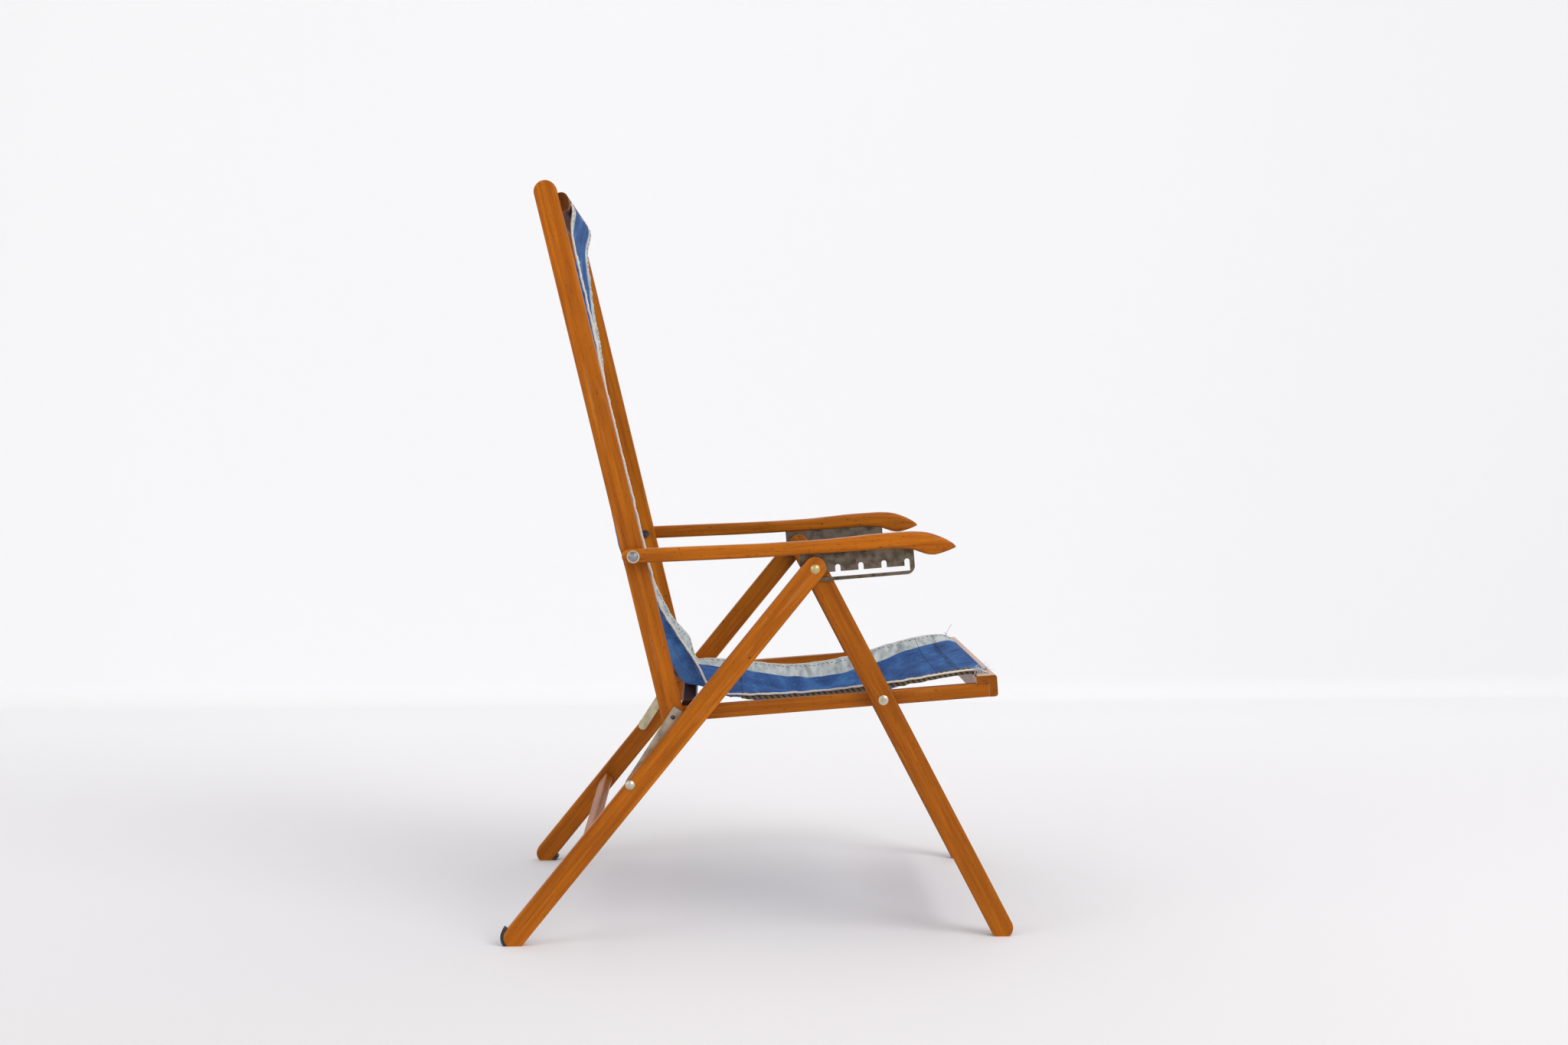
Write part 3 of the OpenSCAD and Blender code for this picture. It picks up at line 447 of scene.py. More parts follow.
def smooth(knots, count):
    """Points of a smooth curve through the knots, count to each stretch: on a stretch from
    b to c with neighbours a and d, half of 2b + (c - a)t + (2a - 5b + 4c - d)t^2
    + (3b - a - 3c + d)t^3."""
    knots = np.asarray(knots, dtype=float)
    stretch = np.repeat(np.arange(len(knots) - 1), count)
    t = np.tile(np.arange(count) / count, len(knots) - 1)[:, None]
    a, b = knots[np.maximum(stretch - 1, 0)], knots[stretch]
    c, d = knots[stretch + 1], knots[np.minimum(stretch + 2, len(knots) - 1)]
    squared, cubed = (2 * a - 5 * b + 4 * c - d) * t**2, (3 * b - a - 3 * c + d) * t**3
    return np.vstack([0.5 * (2 * b + (c - a) * t + squared + cubed), knots[-1:]])


def unit(vectors):
    """Vectors scaled to length one."""
    return vectors / np.maximum(np.linalg.norm(vectors, axis=-1, keepdims=True), 1e-12)


def make_piece(name, points, faces, materials, body=None, uv=None, indices=None):
    """One object at the origin from whole arrays, with its materials, and riding on a body."""
    mesh = bpy.data.meshes.new(name)
    mesh.from_pydata(points.tolist(), [], [face for block in faces for face in block.tolist()])
    for each in materials:
        mesh.materials.append(each)
    if indices is not None:
        mesh.polygons.foreach_set("material_index", indices.astype(np.int32))
    if uv is not None:
        corners = np.empty(len(mesh.loops), dtype=np.int32)
        mesh.loops.foreach_get("vertex_index", corners)
        layer = mesh.uv_layers.new(name="cloth")
        layer.data.foreach_set("uv", uv[corners].ravel())
    mesh.polygons.foreach_set("use_smooth", np.ones(len(mesh.polygons), dtype=bool))
    mesh.update()
    piece = bpy.data.objects.new(name, mesh)
    bpy.context.scene.collection.objects.link(piece)
    if body:
        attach(piece, body)
    return piece


def grid_faces(rows, columns, start=0, closed=False):
    """Four-cornered faces of a grid, closed across the columns if asked."""
    wide_count = columns if closed else columns - 1
    i, j = np.meshgrid(np.arange(rows - 1), np.arange(wide_count), indexing="ij")
    i, j = i.ravel(), j.ravel()
    ahead = (j + 1) % columns
    return start + np.stack(
        [i * columns + j, i * columns + ahead, (i + 1) * columns + ahead, (i + 1) * columns + j], 1
    )


def end_fans(rows, sides):
    """Triangles that close both ends of a tube onto two points that follow its own."""
    k = np.arange(sides)
    ahead = (k + 1) % sides
    count = rows * sides
    last = count - sides
    return [
        np.stack([np.full(sides, count), ahead, k], 1),
        np.stack([np.full(sides, count + 1), last + k, last + ahead], 1),
    ]


def tube(path, radius, reference, sides=8, flat=1.0):
    """A round rod carried along a path: at each point a ring of sides points, radius times
    cos and sin in the two directions square to the path, the second times flat. Each end
    closes onto a point a little beyond the path's."""
    radius = np.broadcast_to(np.asarray(radius, dtype=float), (len(path),))
    along = unit(np.gradient(path, axis=0))
    side = unit(np.cross(np.broadcast_to(reference, path.shape), along))
    up = np.cross(along, side)
    turn = 2 * np.pi * np.arange(sides) / sides
    ring = (
        np.cos(turn)[None, :, None] * side[:, None, :]
        + flat * np.sin(turn)[None, :, None] * up[:, None, :]
    )
    points = (path[:, None, :] + radius[:, None, None] * ring).reshape(-1, 3)
    beyond = 0.2 * radius
    ends = np.stack([path[0] - along[0] * beyond[0], path[-1] + along[-1] * beyond[-1]])
    faces = [grid_faces(len(path), sides, closed=True), *end_fans(len(path), sides)]
    return np.vstack([points, ends]), faces


def joined(parts):
    """Several surfaces as one: each one's corner numbers move past those before it."""
    starts = np.cumsum([0] + [len(points) for points, _ in parts])
    faces = [block + start for (_, blocks), start in zip(parts, starts) for block in blocks]
    return np.vstack([points for points, _ in parts]), faces


# The canvas

# The canvas's way in the side plane at its near hem, in its middle and at its far hem, which
# has slipped back: rises up the back with distances forward of the stile's middle, from the
# top bar down to the bend, and then places along the seat with heights above the rail's
# middle. The bend has both, the first list on the back's lines and the second on the seat's.
BACK_NEAR = [
    (738, 29.1), (727.5, 29.1), (700, 21), (657, 18.8), (613, 18.5), (556, 17.8), (491, 15.8),
    (400, 15.6), (310, 16), (208, 16.4), (155, 17.2), (100, 34.5),
]
BACK_MIDDLE = [
    (738, 29.1), (727.5, 29.1), (700, 16), (657, 8), (613, 1), (556, -7), (491, -16),
    (400, -25), (310, -30), (208, -29), (155, -25.6), (100, -12.8),
]
BACK_FAR = [
    (738, 29.1), (727.5, 28.6), (700, 16.5), (657, 10), (613, 4.8), (556, 2), (491, -4.3),
    (400, -8), (310, -10), (208, -8), (155, -2.5), (100, 10),
]
BEND_NEAR = ([(81, 41.8), (56, 50.2), (36, 54.3)], [(54, 33), (64, 25.6), (80, 20)])
BEND_MIDDLE = ([(70, -3.2), (38.4, 7)], [(12, 19.8), (33, 19.2), (62, 10), (80, 1)])
BEND_FAR = ([(76, 21), (56, 31.3), (34, 32.5)], [(33, 21.6), (52.5, 20.6), (80, 16.8)])
SEAT_NEAR = [
    (100, 17.6), (133, 15.8), (185, 14.2), (248, 14.5), (312, 17.6), (360, 21.6), (406.5, 25.6),
]
SEAT_MIDDLE = [
    (100, -1), (133, -12), (185, -22), (248, -23), (312, -11), (360, 2), (406.5, 14.5),
]
SEAT_FAR = [
    (100, 12.5), (133, 7), (185, -0.5), (248, 1.8), (312, 12.2), (360, 22.5), (406.5, 29.5),
]

# The front rail's top and the place on it where each way comes to lie, with how high each
# lies there, and its groove's middle, half width and depth.
RAIL_TOP = 21.0
RAIL_PLACE = 439.0
RAIL_LIES = (5.4, 2.7, 8.2)
GROOVE = (454.0, 1.6, 9.6)
KNOT_STEPS = 40


def groove_wrap(lie):
    """The canvas's way over the front rail and down into its groove, by a quarter round."""
    middle, bend, depth = GROOVE
    turns = np.radians(np.linspace(0.0, 90.0, 5))
    arc = [seat_point(middle - bend * (1 - np.sin(k)), RAIL_TOP + bend * np.cos(k)) for k in turns]
    return [seat_point(RAIL_PLACE, RAIL_TOP + lie)] + arc + [seat_point(middle, RAIL_TOP - depth)]


def canvas_ways():
    """The knots of the near hem, the middle and the far hem, and the knots where the cloth
    leaves the bar and where its lengths meet."""
    ways = [
        np.array(
            [back_point(*knot) for knot in back + bend[0]]
            + [seat_point(*knot) for knot in bend[1] + seat]
            + groove_wrap(lie)
        )
        for back, bend, seat, lie in zip(
            (BACK_NEAR, BACK_MIDDLE, BACK_FAR),
            (BEND_NEAR, BEND_MIDDLE, BEND_FAR),
            (SEAT_NEAR, SEAT_MIDDLE, SEAT_FAR),
            RAIL_LIES,
        )
    ]
    back_end = len(BACK_NEAR) - 1
    bend_knots = len(BEND_NEAR[0]) + len(BEND_NEAR[1])
    seat_start = back_end + bend_knots + 1
    marks = {
        "bar_end": 1,
        "back_end": back_end,
        "bend": back_end + len(BEND_NEAR[0]),
        "seat_start": seat_start,
        "groove": seat_start + len(SEAT_NEAR),
    }
    return ways, marks


def waves(along, wide, count, shortest, longest, seed, slant=0.5):
    """A sum of count sine waves over the cloth, of lengths between shortest and longest in
    metres, running mostly along it; each height shrinks with its wave's length."""
    chance = np.random.default_rng(seed)
    reach = np.exp(chance.uniform(np.log(shortest), np.log(longest), count))
    tilt = chance.normal(0.0, slant, count)
    phase = chance.uniform(0.0, 2 * np.pi, count)
    run = along[..., None] * np.cos(tilt) + wide[..., None] * np.sin(tilt)
    share = reach / longest
    heights = np.sin(2 * np.pi / reach * run + phase) * share
    return heights.sum(-1) / np.sqrt((share**2).sum() / 2)


def eased(share):
    """A share held between 0 and 1 that starts and ends level: 3s^2 - 2s^3."""
    held = np.clip(share, 0, 1)
    return held * held * (3 - 2 * held)


class Canvas:
    """The whole canvas as one grid: rows along it, columns across it. Its sag changes from
    the back's to the seat's over one length, and it waves freely from some way off the top
    bar, the front rail and the seat bar, past a margin where it is held."""

    columns = 121
    sag_change = 120.0 * MM
    free_from_top = 100.0 * MM
    free_from_front = 60.0 * MM
    free_from_bar = 90.0 * MM
    held_margin = 12.0 * MM

    def __init__(self, settings):
        knots, marks = canvas_ways()
        ways = np.stack([smooth(each, KNOT_STEPS) for each in knots])
        mean = (ways[0] + 2 * ways[1] + ways[2]) / 4
        lengths = np.linalg.norm(np.diff(mean, axis=0), axis=1)
        way_run = np.concatenate([[0.0], np.cumsum(lengths)])
        self.mark = {name: way_run[index * KNOT_STEPS] for name, index in marks.items()}
        self.lie = settings.thickness / 2
        self._lay_rows(settings.row_pitch, way_run[-1])
        share = np.linspace(-1.0, 1.0, self.columns)
        self.wide = share * settings.half_width
        self.along, self.across = np.meshgrid(self.run, self.wide, indexing="ij")
        flat = self._hung(ways, way_run, share)
        points = np.stack([flat[..., 0], self.across, flat[..., 1]], -1)
        self.points = points + self._creases(settings)[..., None] * self._normals(points)
        self.normals = self._normals(self.points)

    def _lay_rows(self, pitch, end):
        """Sets the places of the rows along the cloth, closer where it bends, and each
        part's first and last row."""
        mark = self.mark
        stops = (
            (0.0, mark["bar_end"], 0.6 * pitch),
            (mark["bar_end"], mark["back_end"], pitch),
            (mark["back_end"], mark["bend"], 0.7 * pitch),
            (mark["bend"], mark["seat_start"], 0.7 * pitch),
            (mark["seat_start"], mark["groove"], pitch),
            (mark["groove"], end, 0.16 * pitch),
        )
        rows, cuts = [np.array([0.0])], [0]
        for low, high, gap in stops:
            steps = max(int(round((high - low) / gap)), 2)
            rows.append(np.linspace(low, high, steps + 1)[1:])
            cuts.append(cuts[-1] + steps)
        self.run = np.concatenate(rows)
        self.parts = {
            "back": (0, cuts[2]),
            "bend_back": (cuts[2], cuts[3]),
            "bend_seat": (cuts[3], cuts[4]),
            "seat": (cuts[4], cuts[6]),
        }

    def _hung(self, ways, way_run, share):
        """The side-plane place of each grid point: at a share s of the half width, s to a
        power times the hem's place on that side and the rest of the middle's. The power
        rises from 2 on the back to 3.2 on the seat, over the length of sag_change."""
        index = np.arange(len(way_run))
        place = np.interp(self.run, way_run, index)
        near, middle, far = (
            np.stack([np.interp(place, index, way[:, k]) for k in (0, 1)], 1)[:, None]
            for way in ways
        )
        on_seat = np.clip((self.run - self.mark["bend"]) / self.sag_change, 0, 1)[:, None]
        lift = (np.abs(share)[None, :] ** (2.0 + 1.2 * on_seat))[..., None]
        hem = np.where(share[None, :, None] < 0, near, far)
        return hem * lift + middle * (1 - lift)

    def _creases(self, settings):
        """How far each grid point waves off the hung shape: long soft waves, pleats over the
        side strips and small crumples, calmed at the hems and where the cloth is held."""
        from_middle = np.abs(self.across) - settings.half_width
        band = np.clip((from_middle + settings.band_width) / 0.012, 0, 1)
        calm = 1 - 0.75 * np.clip((from_middle + 0.02) / 0.02, 0, 1)
        soft = waves(self.along, self.across, 14, 0.09, 0.32, 5, 0.9)
        pleats = waves(self.along, self.across, 16, 0.013, 0.034, 11, 0.35)
        crumples = waves(self.along, self.across, 14, 0.02, 0.06, 23, 1.2)
        height = settings.crease_height * soft
        height += settings.pleat_height * (band * pleats + 0.25 * crumples)
        return self._free()[:, None] * calm * height

    def _free(self):
        """How free each row is to wave: none on the bars, whole a hand's width from them."""
        bar = self.mark["bend"] + self.held_margin
        front = self.mark["groove"] - self.held_margin
        from_top = np.clip((self.run - self.mark["bar_end"]) / self.free_from_top, 0, 1)
        from_front = np.clip((front - self.run) / self.free_from_front, 0, 1)
        from_bar = np.clip(np.abs(self.run - bar) / self.free_from_bar, 0, 1)
        return eased(from_top * from_front * from_bar)

    def _normals(self, points):
        """The cloth's upper side: the way along it crossed with the way across it."""
        along = unit(np.gradient(points, axis=0))
        wide = unit(np.gradient(points, axis=1))
        return unit(np.cross(along, wide))

    def at(self, along, wide, lift=0.0):
        """Points on the cloth at those places along and across it, lifted off its middle,
        mixed from the four grid points round each."""
        row = np.interp(along, self.run, np.arange(len(self.run)))
        column = np.interp(wide, self.wide, np.arange(len(self.wide)))
        low_row = np.clip(row.astype(int), 0, len(self.run) - 2)
        low_column = np.clip(column.astype(int), 0, len(self.wide) - 2)
        u, v = (row - low_row)[:, None], (column - low_column)[:, None]

        def mixed(grid):
            near = grid[low_row, low_column] * (1 - v) + grid[low_row, low_column + 1] * v
            far = grid[low_row + 1, low_column] * (1 - v) + grid[low_row + 1, low_column + 1] * v
            return near * (1 - u) + far * u

        return mixed(self.points) + np.asarray(lift).reshape(-1, 1) * unit(mixed(self.normals))

    def span(self, part):
        """Where a part starts and ends along the cloth, in metres."""
        low, high = self.parts[part]
        return self.run[low], self.run[high]

    def places(self, part, pitch):
        """Places along a part about that far apart."""
        low, high = self.span(part)
        return np.linspace(low, high, max(int((high - low) / pitch), 24))


# The canvas made by its operator, for those that sew to it.
CLOTH = {}

# Each part of the canvas, how it is held, the built part it stands for and what it rests on.
PARTS = (
    ("back", "stretched", "sling_back", ["top_crossbar"]),
    ("bend_back", "hung", "sling_lap", ["rear_seat_bar"]),
    ("bend_seat", "hung", "sling_lap", ["rear_seat_bar"]),
    ("seat", "stretched", "sling_seat", ["front_seat_rail", "rear_seat_bar"]),
)


def follow(piece, part):
    """The piece moves with its part of the canvas: with the back or the seat. The two bend
    parts between them ride on no body and stay where they are made."""
    if part == "bend_back":
        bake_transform(piece)
    elif part == "bend_seat":
        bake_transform(piece)
    else:
        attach(piece, part)


def border_of(rows, columns):
    """The numbers of a grid's border points, once round it."""
    return np.concatenate(
        [
            np.arange(columns),
            np.arange(1, rows) * columns + columns - 1,
            (rows - 1) * columns + np.arange(columns - 2, -1, -1),
            np.arange(rows - 2, 0, -1) * columns,
        ]
    )


def cloth_piece(cloth, part, materials):
    """One part of the canvas as a closed sheet: its grid moved half the thickness up and
    down its normals, with walls round the border."""
    low, high = cloth.parts[part]
    points = cloth.points[low : high + 1]
    offset = cloth.lie * cloth.normals[low : high + 1]
    rows, columns = points.shape[:2]
    count = rows * columns
    border = border_of(rows, columns)
    ahead = np.roll(border, -1)
    upper = grid_faces(rows, columns)
    lower = grid_faces(rows, columns, count)[:, ::-1]
    walls = np.stack([ahead, border, border + count, ahead + count], 1)
    wide = cloth.across[low : high + 1] + cloth.wide[-1]
    uv = np.stack([wide, cloth.along[low : high + 1]], -1).reshape(-1, 2)
    piece = make_piece(
        "canvas_" + part,
        np.concatenate([points + offset, points - offset]).reshape(-1, 3),
        [upper, lower, walls],
        materials,
        uv=np.concatenate([uv, uv]),
        indices=np.repeat([0, 1], [len(upper), len(lower) + len(walls)]),
    )
    follow(piece, part)
    return piece


# How far before the groove the near strip is tucked under, the dark seam lies and the two
# rows of stitches lie, in metres.
TUCK_BACK = 75.0 * MM
SEAM_BACK = 21.0 * MM
SEAM_ROWS = (17.0 * MM, 46.0 * MM)


class SLING_OT_canvas(bpy.types.Operator):
    """Hang the canvas from the top bar over the seat bar to the front rail"""

    bl_idname = "sling.canvas"
    bl_label = "Hang the canvas"

    def execute(self, context):
        settings = context.scene.sling_canvas
        cloth = Canvas(settings)
        CLOTH["grid"] = cloth
        groove = cloth.mark["groove"]
        materials = [
            canvas_material("blue_cotton_canvas_upper", (groove - TUCK_BACK, groove - SEAM_BACK)),
            canvas_material("blue_cotton_canvas_under"),
        ]
        for part, held, node, rests in PARTS:
            piece = cloth_piece(cloth, part, materials)
            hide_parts(node)
        return {"FINISHED"}


class SLING_OT_hems(bpy.types.Operator):
    """Sew the white hems, the tape under them and the dark stitches to the canvas"""

    bl_idname = "sling.hems"
    bl_label = "Sew the hems"

    def execute(self, context):
        settings = context.scene.sling_canvas
        cloth = CLOTH["grid"]
        white = plain("cream_cotton_piping", "#E2DCD3", 0.8, 1.11, 0.22, 0.1)
        tape = woven_tape()
        dark = plain("dark_waxed_thread", "#2C2622", 0.7, 1.25, 0.3)
        edge = settings.half_width
        for part, *_ in PARTS:
            hems = [self.hem(cloth, part, side, edge, settings.hem_radius) for _, side in SIDES]
            stitches = [self.stitches(cloth, part, side, edge) for _, side in SIDES]
            groups = [("hem_", hems, white), ("stitches_", stitches, dark)]
            if part == "seat":
                stitches += self.front_seams(cloth, edge)
                groups.append(("tape_", [self.tape(cloth, part, edge)], tape))
            for title, rods, material in groups:
                points, faces = joined(rods)
                piece = make_piece(title + part, points, faces, [material])
                follow(piece, part)
        return {"FINISHED"}

    def hem(self, cloth, part, side, edge, radius):
        """The piped edge: a rod on the cloth's edge whose radius swells as two sines along it,
        about 7 and 3 mm long."""
        along = cloth.places(part, 2.5 * MM)
        path = cloth.at(along, np.full(len(along), side * edge))
        path[:, 1] += side * 0.4 * MM
        swell = radius * (1 + 0.10 * np.sin(along * 900) + 0.06 * np.sin(along * 2300))
        return tube(path, swell, (0.0, 1.0, 0.0))

    def tape(self, cloth, part, edge):
        """The flat tape under the near hem."""
        along = cloth.places(part, 2.5 * MM)
        wide = np.full(len(along), -edge + 5.2 * MM)
        path = cloth.at(along, wide, np.full(len(along), -1.4 * MM))
        return tube(path, 4.6 * MM, (0.0, 1.0, 0.0), flat=0.12)

    def stitches(self, cloth, part, side, edge):
        """A thread inside the hem: it wanders sideways as three sines along the cloth, and
        dips in and out of it as a fourth, one wave a stitch."""
        along = cloth.places(part, 1.1 * MM)
        turn = 2 * np.pi * along / MM
        wiggle = 1.6 * np.sin(turn / 11.5) + 2.2 * np.sin(turn / 47.0 + side)
        wiggle += 1.2 * np.sin(turn / 6.1)
        lift = cloth.lie + 0.5 * MM * np.sin(turn / 7.4)
        path = cloth.at(along, side * (edge - 9.5 * MM) + wiggle * MM, lift)
        return tube(path, 0.34 * MM, (0.0, 1.0, 0.0), 5)

    def front_seams(self, cloth, edge):
        """Two rows of stitches across the cloth before the front rail."""
        count = 300
        wide = np.linspace(-edge + 4.0 * MM, edge - 4.0 * MM, count)
        lift = cloth.lie + 0.35 * MM * np.sin(2 * np.pi * wide / (6.8 * MM))
        rows = [cloth.mark["groove"] - back for back in SEAM_ROWS]
        paths = [cloth.at(np.full(count, row), wide, lift) for row in rows]
        return [tube(path, 0.36 * MM, (1.0, 0.0, 0.0), 5) for path in paths]


class SLING_OT_frays(bpy.types.Operator):
    """Fray the canvas's corners at the front rail and leave a loose thread at the top bar"""

    bl_idname = "sling.frays"
    bl_label = "Fray the corners"

    def execute(self, context):
        cloth = CLOTH["grid"]
        edge = context.scene.sling_canvas.half_width
        chance = np.random.default_rng(3)
        end = cloth.mark["groove"] + 8.0 * MM
        pale = plain("pale_frayed_cotton", "#D8DEE6", 0.85, 1.25, 0.2, 0.2)
        dark = plain("dark_loose_thread", "#2A2A30", 0.8, 1.25, 0.2)
        tufts = []
        for _ in range(64):
            along, wide = end - chance.uniform(0, 0.012), chance.uniform(-0.001, 0.007) - edge
            root, size = self.root(cloth, along, wide), chance.uniform(0.005, 0.017)
            tufts.append(self.strand(root, chance, size, (0.45, -0.9, -0.1)))
        far_corner = self.root(cloth, end - 2.0 * MM, edge - 1.0 * MM)
        sizes = (18, 7, 6, 5)
        hair = [self.strand(far_corner, chance, size * MM, (0.0, 0.1, 1.0)) for size in sizes]
        under_bar = self.root(cloth, cloth.mark["bar_end"] - 6.0 * MM, -60.0 * MM)
        loose = [self.strand(under_bar, chance, 14.0 * MM, (0.7, 0.2, -0.8))]
        for name, strands, material, body in (
            ("front_corner_tuft", tufts, pale, "seat"),
            ("front_corner_hair", hair, dark, "seat"),
            ("top_loose_thread", loose, pale, "back"),
        ):
            points, faces = joined(strands)
            piece = make_piece(name, points, faces, [material], body)
        return {"FINISHED"}

    def root(self, cloth, along, wide):
        """Where a thread leaves the cloth's upper face."""
        return cloth.at(np.array([along]), np.array([wide]), 1.0 * MM)[0]

    def strand(self, root, chance, size, lean):
        """A thin curved thread: root + size (t lean + t squared times a random bend)."""
        t = np.linspace(0.0, 1.0, 9)[:, None]
        bend = chance.normal(0.0, 0.45, 3)
        start = unit(np.array(lean) + chance.normal(0.0, 0.35, 3))
        path = root + size * (t * start + t**2 * bend)
        return tube(path, 0.24 * MM, (0.31, 0.52, 0.79), 4)


# The arms

# In millimetres: the arm's length, its tail behind the bolt, its height, how far inside the
# chair's half width its outer face lies, its two widths, where along it from the bolt it
# widens, and the radius of its tip. Then the share of its length where its points lie closer
# towards the tip, and how many points go round it.
ARM_LENGTH = 469.5
ARM_TAIL = 16.0
ARM_HEIGHT = 20.0
ARM_INSET = 0.5
ARM_WIDTHS = (19.9, 26.5)
ARM_WIDENING = (186.0, 216.0)
ARM_TIP_ROUND = 9.0
ARM_TIP_SHARE = 0.16
ARM_SIDES = 40

# The arm's outline as shares of its length with shares of its height.
ARM_TOP = [
    (0.050, 0.515), (0.15, 0.50), (0.30, 0.465), (0.43, 0.435), (0.592, 0.476), (0.68, 0.58),
    (0.757, 0.69), (0.84, 0.735), (0.879, 0.725), (0.920, 0.59), (0.961, 0.215), (0.990, -0.20),
    (1.0, -0.47),
]
ARM_UNDER = [
    (0.050, -0.478), (0.25, -0.515), (0.4275, -0.53), (0.673, -0.44), (0.780, -0.39),
    (0.82, -0.40), (0.861, -0.48), (0.890, -0.715), (0.908, -0.875), (0.926, -0.955),
    (0.942, -0.94), (0.970, -0.765), (0.9935, -0.56), (1.0, -0.49),
]


def arm_places():
    """Places along the arm, close together round the tail and towards the tip."""
    tail = ARM_HEIGHT / 2
    tip_start = ARM_LENGTH * (1 - ARM_TIP_SHARE) - ARM_TAIL
    return np.concatenate(
        [
            -ARM_TAIL + tail * (1 - np.cos(np.linspace(0.03, np.pi / 2, 14))),
            np.linspace(-ARM_TAIL + tail, tip_start, 90)[1:],
            tip_start
            + ARM_TIP_SHARE * ARM_LENGTH * np.sin(np.linspace(0, np.pi / 2 - 0.02, 60))[1:],
        ]
    )


def arm_outline(places):
    """The arm's upper and lower edge at those places: a half round tail and then the two
    outlines."""
    top, under = smooth(ARM_TOP, 12), smooth(ARM_UNDER, 12)
    tail = ARM_HEIGHT / 2
    share = (places + ARM_TAIL) / ARM_LENGTH
    drop = np.sqrt(np.clip(1 - ((places + ARM_TAIL - tail) / tail) ** 2, 0, 1))
    round_tail = places < tail - ARM_TAIL
    upper = np.interp(share, top[:, 0], top[:, 1]) * ARM_HEIGHT
    lower = np.interp(share, under[:, 0], under[:, 1]) * ARM_HEIGHT
    upper = np.where(round_tail, 0.2 + 0.98 * tail * drop, upper)
    lower = np.where(round_tail, 0.2 - 0.98 * tail * drop, lower)
    return upper, lower


def arm_plan(places):
    """The arm's outer and inner face at those places: it widens once, and both faces draw
    in round the tip by a quarter round."""
    narrow, broad = ARM_WIDTHS
    start, end = ARM_WIDENING
    width = narrow + (broad - narrow) * eased((places - start) / (end - start))
    tip = np.clip((ARM_LENGTH - ARM_TAIL - places) / ARM_TIP_ROUND, 0, 1)
    draw = ARM_TIP_ROUND * (1 - np.sqrt(np.clip(1 - (1 - tip) ** 2, 0, 1)))
    return ARM_INSET + draw, ARM_INSET + width - draw


def arm_surface(squareness):
    """The right arm, and the slope that it lies on: at each place along it a section with
    |a|^n + |b|^n = 1, as high as the outline and as wide as the plan there."""
    places = arm_places()
    upper, lower = arm_outline(places)
    outer, inner = arm_plan(places)
    turn = 2 * np.pi * np.arange(ARM_SIDES) / ARM_SIDES
    sines = (np.cos(turn), np.sin(turn))
    a, b = (np.sign(wave) * np.abs(wave) ** (2 / squareness) for wave in sines)
    height = (upper - lower)[:, None] / 2 * b + (upper + lower)[:, None] / 2
    depth = (inner - outer)[:, None] / 2 * a + (inner + outer)[:, None] / 2
    line = AXLE - ARM_PIVOT
    slope = np.degrees(np.arctan2(line[1], line[0])) + ARM_TILT
    along = places[:, None, None] * heading(slope)
    plane = ARM_PIVOT + (along + height[..., None] * across(slope)) * MM
    points = np.stack([plane[..., 0], -HALF_WIDTH + depth * MM, plane[..., 1]], -1)
    ends = np.stack([points[0].mean(0), points[-1].mean(0)])
    rows = len(places)
    faces = [grid_faces(rows, ARM_SIDES, closed=True), *end_fans(rows, ARM_SIDES)]
    return np.vstack([points.reshape(-1, 3), ends]), faces, slope


class SLING_OT_arms(bpy.types.Operator):
    """Shape both arms with rounded edges, a widening and a curled tip"""

    bl_idname = "sling.arms"
    bl_label = "Shape the arms"

    def execute(self, context):
        settings = context.scene.sling_timber
        light, dark = np.array(settings.light), np.array(settings.dark)
        points, faces, slope = arm_surface(settings.squareness)
        turn = (0.0, np.radians(slope), 0.0)
        for name, side in SIDES:
            wood = beech("varnished_beech_%s_arm" % name, turn, light, dark, 0.3, 0.9)
            mirrored = points * (1.0, -side, 1.0)
            turned = [block[:, ::-1] for block in faces] if side > 0 else faces
            body = name + "_arm_rest"
            piece = make_piece(name + "_arm_shaped", mirrored, turned, [wood], body)
            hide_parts(name + "_arm")
        return {"FINISHED"}


# Finishes of the built parts


def dress(names, material):
    """Gives built parts a material in every slot."""
    for name in names:
        node = frame["nodes"][name]
        if not node.material_slots:
            node.data.materials.append(material)
        for slot in node.material_slots:
            slot.material = material


# Each timber finish: its title, its parts, the heading of their length in the side plane or
# None where they lie across the chair, their tone, their wear and whether faces are bare.
TIMBERS = (
    ("rear_leg", both("rear_leg"), REAR_LEG_HEADING, 1.0, 0.5, False),
    ("front_leg", both("front_leg"), FRONT_LEG_HEADING, 0.86, 0.5, False),
    ("stile", both("back_stile"), BACK_HEADING, 1.0, 0.5, False),
    ("seat_rail", both("seat_rail"), SEAT_HEADING, 0.78, 0.8, False),
    ("stretcher", ("rear_stretcher", "front_stretcher"), None, 0.85, 0.5, False),
    ("front_rail", ("front_seat_rail",), None, 0.66, 1.0, True),
)


class SLING_OT_timber(bpy.types.Operator):
    """Varnish the legs, stiles, rails and bars, each with its grain along it"""

    bl_idname = "sling.timber"
    bl_label = "Finish the timber"

    def execute(self, context):
        settings = context.scene.sling_timber
        crosswise = (0.0, 0.0, -np.pi / 2)
        light, dark = np.array(settings.light), np.array(settings.dark)
        for title, nodes, length_heading, tone, wear, raw in TIMBERS:
            turn = crosswise
            if length_heading is not None:
                turn = (0.0, np.radians(length_heading), 0.0)
            name = "varnished_beech_" + title
            dress(nodes, beech(name, turn, tone * light, tone * dark, 0.34, wear, raw))
        # Painted shade: the top crossbar and the rear seat bar are the same beech darkened to 0.30
        # and 0.12 of its tone, for the shadow each lies in.
        for name, tone in (("top_crossbar", 0.30), ("rear_seat_bar", 0.12)):
            title = "painted_shade_beech_" + name
            dress((name,), beech(title, crosswise, tone * light, tone * dark, 0.46))
        return {"FINISHED"}


